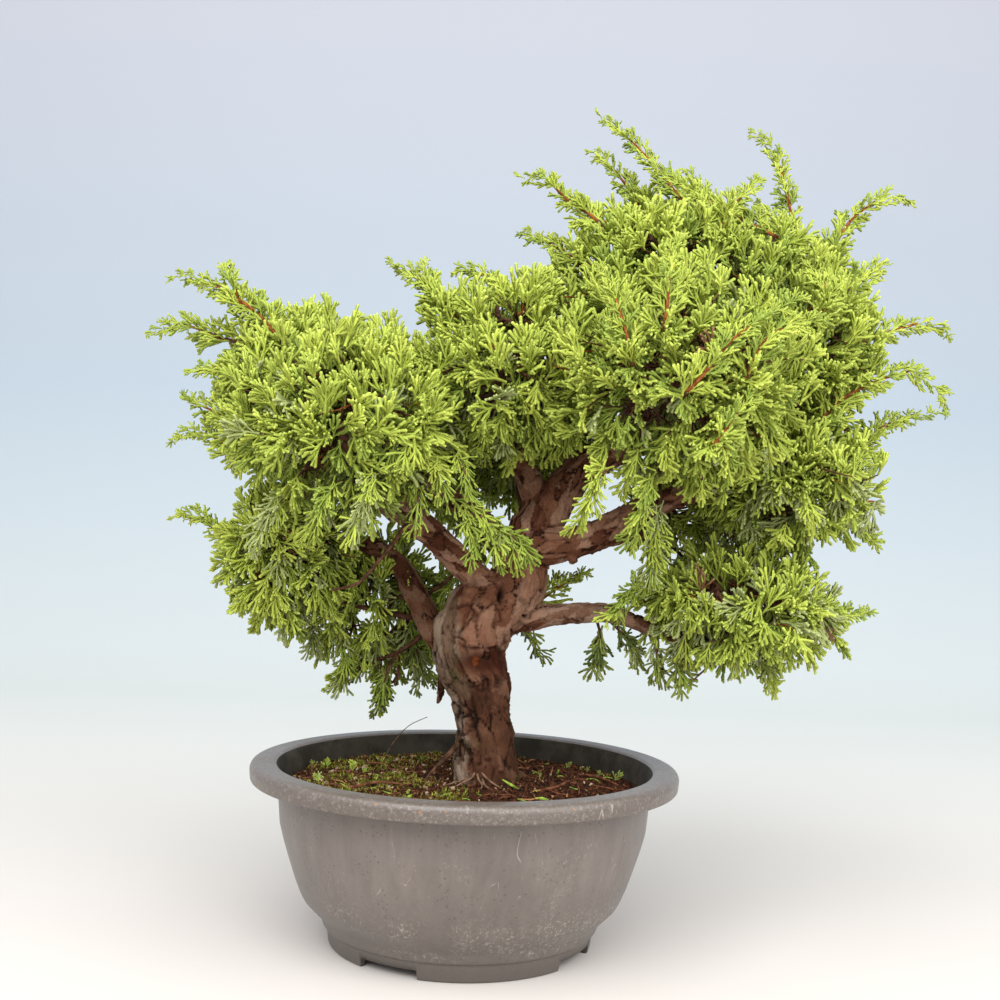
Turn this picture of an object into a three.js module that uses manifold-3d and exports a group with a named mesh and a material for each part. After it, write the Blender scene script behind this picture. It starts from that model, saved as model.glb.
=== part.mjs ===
// A juniper bonsai in its round plastic training pot.
// Millimetres, +Z up, the front of the tree faces -Y. Places are measured from the pot's axis
// and from the surface the pot stands on; at the end the whole plant is moved so that the
// middle of its bounding box lies over the origin.
import * as THREE from 'three';
import { mergeVertices } from 'three/addons/utils/BufferGeometryUtils.js';
import Module from 'manifold-3d';

const wasm = await Module();
wasm.setup();

// Driving dimensions
const CLEARANCE = 0.3; // between neighbouring solids
const RIM_RADIUS = 120;
const POT_HEIGHT = 99;
const POT_SIDES = 34;
const WALL = 3;
const LIP_HEIGHT = 9.3;
const LIP_WIDTH = 15.5;
const LIP_THICKNESS = 3;
const FOOT_OUTER = 73.3;
const FOOT_INNER = 69.5;
const FOOT_GAP_HEIGHT = 5;
const FOOT_GAP_WIDTH = 35;
const FOOT_COUNT = 4;
const FIRST_GAP_ANGLE = 60.7; // degrees from the front towards +X
const FLOOR_UNDERSIDE = 8;
const FLOOR_TOP = 12;
const DRAIN_RADIUS = 6;
const DRAIN_CIRCLE = 38;
const DRAIN_COUNT = 5;
const DRAIN_SIDES = 8;
const SOIL_LEVEL = 88;
const SOIL_FALL = 2; // how much lower the soil lies at the wall
const SOIL_SEAT = 62; // radius of the level middle

const TRUNK_SIDES = 15;
const BOUGH_SIDES = 6;
const BLADE_THICKNESS = 1.8;
const BLADE_ROOT = 1; // how far a spray starts behind the middle line of its twig
const STEM_SIDES = 4;
const TWIG_SIDES = 3;

const COLOURS = {
  pot: 0x7b746f,
  soil: 0x4a3328,
  bark: 0x7a5040,
  foliage: 0x7f9e3c,
};

// Small helpers
const vector = ([x, y, z]) => new THREE.Vector3(x, y, z);
const degrees = (angle) => THREE.MathUtils.degToRad(angle);

function seededRandom(seed) {
  let state = seed >>> 0;
  return () => {
    state = (Math.imul(state, 1664525) + 1013904223) >>> 0;
    return state / 4294967296;
  };
}

// Solids and geometries
function solidFrom(geometry) {
  const bare = geometry.index ? geometry.clone() : geometry;
  bare.deleteAttribute('normal');
  bare.deleteAttribute('uv');
  const merged = mergeVertices(bare, 1e-4);
  const vertProperties = new Float32Array(merged.attributes.position.array);
  const corners = Array.from(merged.index.array);
  const triVerts = [];
  for (let i = 0; i < corners.length; i += 3) {
    const [a, b, c] = corners.slice(i, i + 3);
    if (a !== b && b !== c && c !== a) triVerts.push(a, b, c);
  }
  const mesh = new wasm.Mesh({ numProp: 3, vertProperties, triVerts: new Uint32Array(triVerts) });
  return new wasm.Manifold(mesh);
}

function geometryFrom(solid) {
  const mesh = solid.getMesh();
  const geometry = new THREE.BufferGeometry();
  geometry.setAttribute('position', new THREE.BufferAttribute(mesh.vertProperties, 3));
  geometry.setIndex(new THREE.BufferAttribute(mesh.triVerts, 1));
  geometry.computeVertexNormals();
  return geometry;
}

function joined(solids) {
  return solids.reduce((whole, next) => whole.add(next));
}

// The largest body alone: loose scraps go, and so do the walls of sealed hollows.
function mainBody(solid) {
  const bodies = solid.decompose();
  return bodies.reduce((best, next) => (next.volume() > best.volume() ? next : best));
}

function lathe(profile) {
  const points = profile.map(([radius, height]) => new THREE.Vector2(radius, height));
  const geometry = new THREE.LatheGeometry(points, POT_SIDES);
  geometry.rotateX(Math.PI / 2);
  return solidFrom(geometry);
}

// A tapering limb: rings of points swept along a smooth curve, closed by a flat face at each end.
// `swell(outward, height)` scales the radius and gives the trunk its lumps and root flare.
function limbSolid({ points, radii, sides, steps = 1, swell = null }, grow = 0) {
  const curve = new THREE.CatmullRomCurve3(points.map(vector), false, 'centripetal');
  const frames = curve.computeFrenetFrames(steps, false);
  const positions = [];
  const indices = [];
  for (let ring = 0; ring <= steps; ring++) {
    const along = ring / steps;
    const centre = curve.getPointAt(along);
    if (ring === 0) centre.addScaledVector(frames.tangents[0], -grow);
    if (ring === steps) centre.addScaledVector(frames.tangents[steps], grow);
    const base = radiusAt(radii, along) + grow;
    for (let side = 0; side < sides; side++) {
      const angle = (side / sides) * 2 * Math.PI;
      const outward = frames.normals[ring].clone().multiplyScalar(Math.cos(angle));
      outward.addScaledVector(frames.binormals[ring], Math.sin(angle));
      const radius = base * (swell ? swell(outward, centre.z) : 1);
      positions.push(...outward.multiplyScalar(radius).add(centre).toArray());
    }
  }
  const ringStart = (ring) => ring * sides;
  for (let ring = 0; ring < steps; ring++) {
    for (let side = 0; side < sides; side++) {
      const next = (side + 1) % sides;
      const a = ringStart(ring) + side;
      const b = ringStart(ring) + next;
      const c = ringStart(ring + 1) + side;
      const d = ringStart(ring + 1) + next;
      indices.push(a, b, d, a, d, c);
    }
  }
  for (let side = 1; side < sides - 1; side++) {
    indices.push(0, side + 1, side);
    indices.push(ringStart(steps), ringStart(steps) + side, ringStart(steps) + side + 1);
  }
  const geometry = new THREE.BufferGeometry();
  geometry.setAttribute('position', new THREE.Float32BufferAttribute(positions, 3));
  geometry.setIndex(indices);
  return solidFrom(geometry);
}

function radiusAt(radii, along) {
  const place = along * (radii.length - 1);
  const index = Math.min(Math.floor(place), radii.length - 2);
  return THREE.MathUtils.lerp(radii[index], radii[index + 1], place - index);
}

// The pot
function innerWall(inset) {
  return [
    [103.3 - inset, 94],
    [101 - inset, 85],
    [99.3 - inset, 66],
    [94.2 - inset, 49],
    [87.1 - inset, 28.6 + inset],
    [76.2 - inset, 17.7 + inset],
    [72 - inset, FLOOR_TOP + inset],
    [0, FLOOR_TOP + inset],
  ];
}

function potSolid() {
  const lipUnderside = POT_HEIGHT - LIP_HEIGHT;
  const flangeUnderside = POT_HEIGHT - LIP_THICKNESS;
  const lipInner = RIM_RADIUS - LIP_WIDTH;
  const outer = [
    [0, FLOOR_UNDERSIDE],
    [FOOT_INNER, FLOOR_UNDERSIDE],
    [FOOT_INNER, 0],
    [FOOT_OUTER, 0],
    [FOOT_OUTER + 1.2, 9.5],
    [76.5, 10.5],
    [78.8, 16],
    [89.7, 27],
    [97.1, 48],
    [102.4, 66],
    [104, 85],
    [lipInner, flangeUnderside],
    [RIM_RADIUS - WALL, flangeUnderside],
    [RIM_RADIUS - WALL, lipUnderside],
    [RIM_RADIUS - 0.6, lipUnderside],
    [RIM_RADIUS, POT_HEIGHT - 3],
    [RIM_RADIUS - 1.2, POT_HEIGHT - 0.7],
    [RIM_RADIUS - 3.5, POT_HEIGHT],
    [lipInner + 2.5, POT_HEIGHT],
    [lipInner + 0.5, POT_HEIGHT - 1.2],
  ];
  let pot = lathe([...outer, ...innerWall(0)]);
  for (let foot = 0; foot < FOOT_COUNT; foot++) {
    const gap = new THREE.BoxGeometry(FOOT_GAP_WIDTH, 20, FOOT_GAP_HEIGHT * 2);
    gap.translate(0, -FOOT_OUTER, 0);
    gap.rotateZ(degrees(FIRST_GAP_ANGLE + (foot * 360) / FOOT_COUNT));
    pot = pot.subtract(solidFrom(gap));
  }
  for (let hole = 0; hole <= DRAIN_COUNT; hole++) {
    const drain = new THREE.CylinderGeometry(DRAIN_RADIUS, DRAIN_RADIUS, FLOOR_TOP, DRAIN_SIDES);
    drain.rotateX(Math.PI / 2);
    drain.translate(hole === DRAIN_COUNT ? 0 : DRAIN_CIRCLE, 0, FLOOR_TOP - 1);
    drain.rotateZ(degrees((hole * 360) / DRAIN_COUNT));
    pot = pot.subtract(solidFrom(drain));
  }
  return pot;
}

function soilSolid() {
  const [, [edgeRadius], ...below] = innerWall(CLEARANCE);
  const edge = [edgeRadius, SOIL_LEVEL - SOIL_FALL];
  return lathe([...below.reverse(), edge, [SOIL_SEAT, SOIL_LEVEL], [0, SOIL_LEVEL]]);
}

// The trunk, from its flat cut at soil level to the fork
const TRUNK = {
  points: [
    [13, 0, 76],
    [11, 0, 98],
    [9, 0, 122],
    [6, -1, 144],
    [1, -3, 164],
    [6, -3, 181],
    [22, 0, 195],
    [28, 3, 213],
    [34, 5, 236],
  ],
  radii: [19, 17.5, 15.6, 16.5, 19.5, 20.5, 17, 13.5, 12],
  sides: TRUNK_SIDES,
  steps: 16,
  swell: trunkSwell,
};
// direction in degrees from +X, how far it stands out, how sharply, and how high it dies away
const ROOTS = [
  { direction: 215, reach: 0.85, spread: 22, rise: 10 },
  { direction: 290, reach: 0.3, spread: 26, rise: 9 },
  { direction: 350, reach: 0.32, spread: 24, rise: 11 },
  { direction: 60, reach: 0.4, spread: 26, rise: 9 },
  { direction: 140, reach: 0.45, spread: 26, rise: 9 },
];
const KNOT = { direction: 262, height: 188, reach: 0.2, spread: 38, rise: 12 };

function angleBetween(first, second) {
  return Math.abs(((first - second + 540) % 360) - 180);
}

function bump(value, width) {
  return Math.exp(-((value / width) ** 2));
}

function trunkSwell(outward, height) {
  const direction = THREE.MathUtils.radToDeg(Math.atan2(outward.y, outward.x));
  let scale = 1 + 0.04 * Math.sin(degrees(3 * direction) + height / 14);
  for (const { direction: way, reach, spread, rise } of ROOTS) {
    const above = Math.max(height - SOIL_LEVEL, 0);
    scale += reach * bump(angleBetween(direction, way), spread) * Math.exp(-above / rise);
  }
  const beside = bump(angleBetween(direction, KNOT.direction), KNOT.spread);
  scale += KNOT.reach * beside * bump(height - KNOT.height, KNOT.rise);
  return scale;
}

function trunkSolid(grow = 0) {
  const whole = limbSolid(TRUNK, grow);
  const ground = new THREE.BoxGeometry(200, 200, 60);
  ground.translate(0, 0, SOIL_LEVEL + CLEARANCE - grow - 30);
  return whole.subtract(solidFrom(ground));
}

// The boughs: each is one tapering limb that starts inside the limb that carries it, where the
// joint is cut 0.3 mm clear, and ends where its mass of foliage takes over. Stubs are dead ends.
const BOUGHS = {
  bough_left: {
    points: [[16, -7, 190], [-5, -12, 209], [-23, -18, 225], [-42, -28, 241], [-56, -36, 250]],
    radii: [9, 8.2, 8, 7.6, 6.5],
  },
  bough_left_back: {
    points: [[4, 10, 150], [-16, 16, 164], [-32, 28, 188], [-46, 36, 209], [-66, 38, 220]],
    radii: [8, 7.5, 6.8, 6, 5],
    stubs: [{ points: [[-10, 13, 156], [-15, 12, 142], [-16, 10, 128]], radii: [3.4, 2.2, 2.8] }],
  },
  bough_left_low: {
    points: [[-34, 30, 191], [-44, 44, 192], [-50, 54, 189]],
    radii: [4.5, 4, 3.4],
  },
  bough_left_top: {
    points: [[-40, -26, 238], [-66, -24, 262], [-96, -14, 284]],
    radii: [6, 5.5, 4.5],
  },
  bough_left_rear: {
    points: [[26, 8, 212], [-4, 30, 242], [-40, 46, 262]],
    radii: [7.5, 6.5, 5],
  },
  bough_top: {
    points: [[34, 5, 228], [46, 8, 249], [60, 10, 266], [84, 10, 284], [100, 8, 318], [108, 6, 350]],
    radii: [12, 11, 9.5, 8.5, 7, 5.5],
  },
  bough_centre: {
    points: [[38, 8, 244], [26, 8, 270], [12, 0, 296]],
    radii: [7, 6, 4.8],
  },
  bough_back: {
    points: [[30, 8, 222], [32, 38, 242], [26, 62, 268]],
    radii: [7, 6, 4.8],
  },
  bough_front: {
    points: [[76, 8, 278], [94, -22, 294], [102, -40, 306]],
    radii: [6.5, 5.6, 4.6],
  },
  bough_top_right: {
    points: [[84, 8, 284], [122, 6, 310], [152, 2, 330]],
    radii: [7, 6, 4.8],
  },
  bough_right_rear: {
    points: [[92, 10, 300], [104, 36, 318], [112, 54, 328]],
    radii: [6, 5.4, 4.6],
  },
  bough_right: {
    points: [[34, -2, 222], [62, -4, 226], [80, -7, 235], [104, -10, 249], [136, -11, 260]],
    radii: [9.5, 8.6, 8, 6.5, 5],
    stubs: [{ points: [[64, -6, 225], [66, -9, 215]], radii: [3.6, 2.6] }],
  },
  bough_right_low: {
    points: [[22, -2, 185], [54, -6, 186], [76, -8, 186], [101, -10, 179], [126, -12, 172]],
    radii: [8, 5.6, 5, 4.6, 3.8],
  },
  bough_right_under: {
    points: [[78, -6, 231], [96, 28, 232], [110, 48, 232]],
    radii: [5.6, 4.8, 4],
  },
};

// The masses of foliage. Each keeps to its own convex space: the points that lie closer to its
// middle than to any other, by the power of the ball of its mean radius. `core` is the share of
// its size that is a dense core (0 for an open mass), and `shoots` are its longest runners' tips.
const MASSES = {
  crown_left_front: {
    bough: 'bough_left', middle: [-74, -50, 285], size: [72, 54, 63], core: 0.62,
    shoots: [{ tip: [-20, -98, 238], base: [-46, -76, 258] }],
  },
  crown_left_tip: {
    bough: 'bough_left_top', middle: [-114, -4, 306], size: [64, 58, 58], core: 0.6,
    shoots: [
      { tip: [-173, -24, 365], base: [-128, -18, 336] },
      { tip: [-185, -10, 333], base: [-142, -10, 322] },
      { tip: [-166, -5, 298], base: [-132, -6, 302] },
      { tip: [-174, -8, 274], base: [-132, -6, 284] },
      { tip: [-143, -20, 373], base: [-122, -14, 338] },
    ],
  },
  crown_left_rear: {
    bough: 'bough_left_rear', middle: [-66, 58, 296], size: [70, 60, 64], core: 0.6,
    shoots: [{ tip: [-50, 92, 352], base: [-62, 72, 312] }],
  },
  crown_left_side: {
    bough: 'bough_left_back', middle: [-110, 16, 208], size: [62, 64, 62], core: 0.44,
    shoots: [
      { tip: [-175, 0, 232], base: [-136, 8, 218] },
      { tip: [-98, 0, 136], base: [-104, 10, 178] },
    ],
  },
  crown_left_low: {
    bough: 'bough_left_low', middle: [-54, 60, 182], size: [56, 52, 56], core: 0,
    shoots: [
      { tip: [-53, 44, 125], base: [-54, 54, 166] },
      { tip: [-18, 66, 131], base: [-40, 62, 164] },
    ],
  },
  crown_centre: {
    bough: 'bough_centre', middle: [8, -16, 322], size: [68, 66, 64], core: 0.6,
    shoots: [
      { tip: [-53, -12, 378], base: [-14, -12, 346] },
      { tip: [-16, 12, 384], base: [0, 0, 350] },
    ],
  },
  crown_rear: {
    bough: 'bough_back', middle: [20, 84, 300], size: [68, 56, 70], core: 0.6,
    shoots: [{ tip: [-10, 104, 372], base: [6, 92, 334] }],
  },
  crown_top: {
    bough: 'bough_top', middle: [114, 4, 392], size: [86, 68, 60], core: 0.62,
    shoots: [
      { tip: [58, -5, 470], base: [106, 4, 424] },
      { tip: [60, 20, 457], base: [88, 14, 420] },
      { tip: [18, -10, 428], base: [68, 0, 402] },
      { tip: [152, 20, 471], base: [164, 12, 420] },
    ],
  },
  crown_front: {
    bough: 'bough_front', middle: [108, -62, 315], size: [76, 58, 72], core: 0.62,
    shoots: [{ tip: [152, -114, 284], base: [126, -86, 304] }],
  },
  crown_right: {
    bough: 'bough_top_right', middle: [188, 0, 345], size: [61, 68, 65], core: 0.6,
    shoots: [
      { tip: [253, 15, 430], base: [208, 10, 384] },
      { tip: [229, -14, 402], base: [204, -8, 372] },
      { tip: [265, -15, 348], base: [222, -10, 346] },
      { tip: [260, -24, 304], base: [218, -14, 324] },
      { tip: [254, 12, 301], base: [216, 6, 324] },
    ],
  },
  crown_right_rear: {
    bough: 'bough_right_rear', middle: [120, 80, 336], size: [76, 58, 70], core: 0.6,
    shoots: [{ tip: [176, 120, 380], base: [140, 96, 356] }],
  },
  crown_right_mid: {
    bough: 'bough_right', middle: [182, -12, 262], size: [62, 64, 54], core: 0.55,
    shoots: [
      { tip: [234, 10, 222], base: [204, -2, 246] },
    ],
  },
  crown_right_low: {
    bough: 'bough_right_low', middle: [154, -16, 188], size: [68, 56, 46], core: 0.42,
    shoots: [
      { tip: [219, -12, 191], base: [176, -14, 188] },
      { tip: [174, -16, 148], base: [160, -16, 174] },
      { tip: [92, -14, 148], base: [132, -15, 176] },
    ],
  },
  crown_right_under: {
    bough: 'bough_right_under', middle: [130, 64, 236], size: [60, 54, 58], core: 0.5,
    shoots: [{ tip: [120, 80, 170], base: [126, 70, 210] }],
  },
};
const CORE_DETAIL = 2;
const TUFT_SHARE = 0.35; // of the points of a core
const TUFT_HEIGHT = 1.45; // against the hollows between tufts
const SPRAYS_PER_MASS = 10;
// share: the most of its length that is blade; turns: ways of turning it about its length that
// are compared; faces: the most faces that it may add, which grow where it crosses its neighbours
const SPRAY = { blade: 48, width: 44, share: 0.75, turns: 8, faces: 78 };
const SHOOT = { blade: 62, width: 22, share: 1, turns: 1, faces: 200, facing: [0, -1, 0.4] };
const SPRAY_REACHES = [1, 0.85, 0.7, 0.55]; // tried in turn, as shares of a mass's size
const TWIGS_PER_MASS = 5;
const TWIG_REACH = 0.52;
const TWIG_RADII = [2.2, 1.4];

const meanRadius = ({ size: [x, y, z] }) => (x + y + z) / 3;

// Planes between a mass and its neighbours, each as an outward normal and a distance
function cellPlanes(name) {
  const own = MASSES[name];
  return Object.keys(MASSES).filter((other) => other !== name).map((other) => {
    const away = vector(MASSES[other].middle).sub(vector(own.middle));
    const distance = away.length();
    const share = distance ** 2 + meanRadius(own) ** 2 - meanRadius(MASSES[other]) ** 2;
    const normal = away.normalize();
    const limit = normal.dot(vector(own.middle)) + share / (2 * distance) - CLEARANCE / 2;
    return { normal, limit };
  });
}

// Points along every limb with their radii, for keeping leaves off the limbs
function limbSamples(limbs) {
  return limbs.flatMap(({ points, radii }) => {
    const curve = new THREE.CatmullRomCurve3(points.map(vector), false, 'centripetal');
    return Array.from({ length: 25 }, (_, i) => (
      { centre: curve.getPointAt(i / 24), radius: radiusAt(radii, i / 24) }
    ));
  });
}

// Whether a point lies in the mass's own space and off the limbs
function isFree({ planes, samples }, point) {
  const inside = planes.every(({ normal, limit }) => normal.dot(point) < limit);
  return inside && samples.every(({ centre, radius }) => (
    centre.distanceTo(point) > radius + 2 * CLEARANCE
  ));
}

// A spray on its stalk: a flat toothed blade with a long middle finger and two pairs of side
// fingers. Places along and across are shares of the blade's size.
function sprayGeometry(length, { blade, width, share }) {
  const half = [
    [0.42, 0.46],
    [0.4, 0.1],
    [0.78, 0.4],
    [0.66, 0.07],
  ];
  const bladeLength = Math.min(blade, share * length);
  const place = ([along, aside], way) => (
    [length - bladeLength * (1 - along), way * aside * width * (bladeLength / blade)]
  );
  const outline = new THREE.Shape();
  outline.moveTo(-BLADE_ROOT, 0);
  half.forEach((point) => outline.lineTo(...place(point, -1)));
  outline.lineTo(length, 0);
  half.toReversed().forEach((point) => outline.lineTo(...place(point, 1)));
  const geometry = new THREE.ExtrudeGeometry(outline, { depth: BLADE_THICKNESS, bevelEnabled: false });
  geometry.translate(0, 0, -BLADE_THICKNESS / 2);
  return geometry;
}

// Places a spray with its root at `root` and its tip at `end`, its face towards `face`
function placedSpray(root, end, face, form) {
  const x = end.clone().sub(root).normalize();
  const y = face.clone().cross(x).normalize();
  const z = x.clone().cross(y);
  const geometry = sprayGeometry(end.distanceTo(root), form);
  geometry.applyMatrix4(new THREE.Matrix4().makeBasis(x, y, z).setPosition(root));
  return geometry;
}

function geometryIsFree(space, geometry) {
  const position = geometry.attributes.position;
  for (let i = 0; i < position.count; i++) {
    if (!isFree(space, new THREE.Vector3().fromBufferAttribute(position, i))) return false;
  }
  return true;
}

function lineIsFree(space, { start, end }) {
  return [0.2, 0.4, 0.6, 0.8, 1].every((share) => isFree(space, start.clone().lerp(end, share)));
}

// Directions spread evenly over a sphere
function evenDirection(index, count) {
  const height = 1 - (2 * index + 1) / count;
  const turn = index * Math.PI * (3 - Math.sqrt(5));
  const across = Math.sqrt(1 - height ** 2);
  return new THREE.Vector3(across * Math.cos(turn), across * Math.sin(turn), height);
}

// A dense core: a ball roughened by tufts, drawn in where it would leave the mass's own space
function coreSolid({ middle, size, core }, planes, random) {
  const geometry = new THREE.IcosahedronGeometry(1, CORE_DETAIL);
  geometry.deleteAttribute('normal');
  geometry.deleteAttribute('uv');
  const ball = mergeVertices(geometry, 1e-4);
  const position = ball.attributes.position;
  const centre = vector(middle);
  for (let i = 0; i < position.count; i++) {
    const tuft = random() < TUFT_SHARE ? TUFT_HEIGHT : 1;
    const ray = new THREE.Vector3().fromBufferAttribute(position, i);
    ray.multiply(vector(size)).multiplyScalar(core * tuft * (0.9 + 0.2 * random()));
    const shares = planes.map(({ normal, limit }) => {
      const reach = normal.dot(ray);
      return reach > 0 ? (limit - CLEARANCE - normal.dot(centre)) / reach : 1;
    });
    position.setXYZ(i, ...centre.clone().addScaledVector(ray, Math.min(1, ...shares)).toArray());
  }
  return solidFrom(ball);
}

// One mass: a stem from its bough's tip to its middle, twigs from there, sprays on the nearest
function growMass(name, index, samples) {
  const mass = MASSES[name];
  const bough = BOUGHS[mass.bough];
  const space = { planes: cellPlanes(name), samples };
  const random = seededRandom(index * 977 + 31);
  const middle = vector(mass.middle);
  const curve = new THREE.CatmullRomCurve3(bough.points.map(vector), false, 'centripetal');
  const tip = curve.getPoint(1);
  const heading = curve.getTangent(1);
  const tipRadius = bough.radii.at(-1);
  const stemStart = tip.clone().addScaledVector(heading, CLEARANCE);
  const stem = [stemStart, stemStart.clone().addScaledVector(heading, 6), middle];
  const solids = [limbSolid({
    points: stem.map((point) => point.toArray()),
    radii: [tipRadius * 0.8, tipRadius * 0.6, TWIG_RADII[0]],
    sides: STEM_SIDES,
    steps: 3,
  })];
  if (mass.core > 0) solids.push(coreSolid(mass, space.planes, random));

  const size = vector(mass.size);
  const placeAt = (way, reach) => way.clone().multiply(size).multiplyScalar(reach).add(middle);
  const skeleton = [new THREE.Line3(stem[1], middle)];
  for (let i = 0; i < TWIGS_PER_MASS; i++) {
    const twig = new THREE.Line3(middle, placeAt(evenDirection(i, TWIGS_PER_MASS), TWIG_REACH));
    if (!lineIsFree(space, twig)) continue;
    skeleton.push(twig);
    const points = [twig.start.toArray(), twig.end.toArray()];
    solids.push(limbSolid({ points, radii: TWIG_RADII, sides: TWIG_SIDES }));
  }
  const nearestRoot = (end) => {
    const roots = skeleton.map((line) => line.closestPointToPoint(end, true, new THREE.Vector3()));
    return roots.reduce((best, next) => (next.distanceTo(end) < best.distanceTo(end) ? next : best));
  };
  let whole = joined(solids);
  const addSpray = (root, end, form) => {
    const along = end.clone().sub(root).normalize();
    const firstFace = vector(form.facing ?? [random() - 0.5, random() - 0.9, 1]);
    let best = null;
    let fewest = whole.numTri() + form.faces;
    for (let turn = 0; turn < form.turns; turn++) {
      const face = firstFace.clone().applyAxisAngle(along, (turn * Math.PI) / form.turns);
      const geometry = placedSpray(root, end, face, form);
      if (!geometryIsFree(space, geometry)) continue;
      const candidate = whole.add(solidFrom(geometry));
      if (candidate.numTri() >= fewest) continue;
      best = candidate;
      fewest = candidate.numTri();
    }
    whole = best ?? whole;
    return best !== null;
  };
  for (const shoot of mass.shoots) {
    const base = vector(shoot.base);
    const stalk = [nearestRoot(base).toArray(), shoot.base];
    whole = whole.add(limbSolid({ points: stalk, radii: TWIG_RADII, sides: TWIG_SIDES }));
    if (!addSpray(base, vector(shoot.tip), SHOOT)) console.error(`${name}: no shoot at ${shoot.tip}`);
  }
  for (let i = 0; i < SPRAYS_PER_MASS; i++) {
    const way = evenDirection(i, SPRAYS_PER_MASS);
    way.x += 0.3 * (random() - 0.5);
    way.z += 0.3 * (random() - 0.5);
    way.normalize();
    SPRAY_REACHES.some((reach) => {
      const end = placeAt(way, reach);
      return addSpray(nearestRoot(end), end, SPRAY);
    });
  }
  return whole;
}

// Assembly
function sweptWithStubs({ points, radii, stubs = [] }, grow) {
  const whole = limbSolid({ points, radii, sides: BOUGH_SIDES, steps: 2 * (points.length - 1) }, grow);
  const ends = stubs.map((stub) => limbSolid({ ...stub, sides: 5, steps: 2 }, grow));
  return joined([whole, ...ends]);
}

const plant = new THREE.Group();

function addNode(name, solid, color, roughness) {
  const material = new THREE.MeshStandardMaterial({ color, roughness, metalness: 0 });
  const mesh = new THREE.Mesh(geometryFrom(solid), material);
  mesh.name = name;
  plant.add(mesh);
}

addNode('pot', potSolid(), COLOURS.pot, 0.6);
addNode('soil', soilSolid(), COLOURS.soil, 0.95);
addNode('trunk', trunkSolid(), COLOURS.bark, 0.9);

let limbSpace = trunkSolid(CLEARANCE);
for (const [name, bough] of Object.entries(BOUGHS)) {
  addNode(name, mainBody(sweptWithStubs(bough, 0).subtract(limbSpace)), COLOURS.bark, 0.9);
  limbSpace = limbSpace.add(sweptWithStubs(bough, CLEARANCE));
}

const samples = limbSamples([TRUNK, ...Object.values(BOUGHS)]);
Object.keys(MASSES).forEach((name, index) => {
  const mass = growMass(name, index, samples);
  addNode(name, mainBody(mass.subtract(limbSpace)), COLOURS.foliage, 0.8);
});

const box = new THREE.Box3().setFromObject(plant);
const middle = box.getCenter(new THREE.Vector3());
plant.position.set(-middle.x, -middle.y, 0);

export default plant;
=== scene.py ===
# The looks of a juniper bonsai in its round plastic training pot.
# Places in the tables are millimetres from the pot's axis and from the surface it stands on, with
# the front of the tree facing -Y. `placed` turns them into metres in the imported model's frame.
import itertools
import math
from types import SimpleNamespace

import bmesh
import bpy
import numpy as np
from mathutils import Matrix, Vector


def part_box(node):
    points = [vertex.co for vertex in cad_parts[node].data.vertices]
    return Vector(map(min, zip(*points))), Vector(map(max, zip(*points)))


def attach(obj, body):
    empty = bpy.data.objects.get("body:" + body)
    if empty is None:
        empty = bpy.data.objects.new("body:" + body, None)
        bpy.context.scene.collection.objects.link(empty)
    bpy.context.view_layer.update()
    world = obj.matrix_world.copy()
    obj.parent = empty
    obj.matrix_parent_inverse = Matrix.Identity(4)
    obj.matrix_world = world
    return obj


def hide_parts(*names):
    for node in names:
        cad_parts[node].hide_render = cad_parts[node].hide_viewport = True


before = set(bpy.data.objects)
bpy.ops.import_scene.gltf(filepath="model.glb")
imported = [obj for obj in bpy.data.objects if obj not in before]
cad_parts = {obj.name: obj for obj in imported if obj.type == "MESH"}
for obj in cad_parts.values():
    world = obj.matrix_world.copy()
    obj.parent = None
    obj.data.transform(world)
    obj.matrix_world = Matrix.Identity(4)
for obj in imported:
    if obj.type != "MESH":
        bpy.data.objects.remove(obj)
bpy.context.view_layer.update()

MM = 0.001
pot_low, pot_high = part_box("pot")
POT_AXIS = np.array([(pot_low.x + pot_high.x) / 2, (pot_low.y + pot_high.y) / 2, 0.0])

# The pot and the soil
RIM_RADIUS = 120
POT_HEIGHT = 99
INNER_WALL_RADIUS = 105.6
FOOT_INNER = 69.5
FOOT_OUTER = 73.3
FOOT_GAP_HEIGHT = 5
FOOT_GAP_WIDTH = 35
FOOT_COUNT = 4
FIRST_GAP_ANGLE = 60.7  # degrees from the front towards +X
DRAIN_RADIUS = 6
DRAIN_CIRCLE = 38
DRAIN_COUNT = 5
DRAIN_ENDS = (2, 22)
POT_CORNER = 1.4  # radius at the corners of its profile
POT_TURNS = 192  # steps round the pot
GAP_SLACK = 0.004  # radians between the two edges that close a gap's side
SOIL_LEVEL = 88
SOIL_FALL = 2
SOIL_SEAT = 62
SOIL_EDGE = 100.9
TRUNK_FOOT = 11  # where the trunk leaves the soil, along X
MOSS_TRIES = 60000
# For grains and for twigs: roughness, specular level, scale of the patches and of the bumps, and
# the bumps' depth in metres and strength
SMALL_MATERIALS = {
    "grain": (0.9, 0.06, 420, 2400, 0.0005, 0.6),
    "twig": (0.8, 0.1, 300, 1800, 0.0004, 0.7),
}

# The trunk, from below the soil to the fork: points of its middle line, and its radii along it
TRUNK = (
    [[13, 0, 76], [11, 0, 98], [9, 0, 122], [6, -1, 144], [1, -3, 164], [6, -3, 181], [22, 0, 195],
     [28, 3, 213], [34, 5, 236]],
    [17.6, 17, 15.4, 16.3, 19.5, 20.5, 17, 13.5, 12],
)
# The root flare: direction in degrees from +X, how far it stands out, how sharply, and how high
# it dies away
ROOTS = [(215, 0.12, 24, 8), (290, 0.06, 26, 7), (350, 0.06, 24, 8), (60, 0.25, 26, 9), (140, 0.25, 26, 9)]
KNOT = {"direction": 262, "height": 188, "reach": 0.2, "spread": 38, "rise": 12}
BARK_VOXEL = 0.001  # metres
BARK_TWIST = 0.018  # turn of the bark's grain about a limb, in radians to a millimetre
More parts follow.
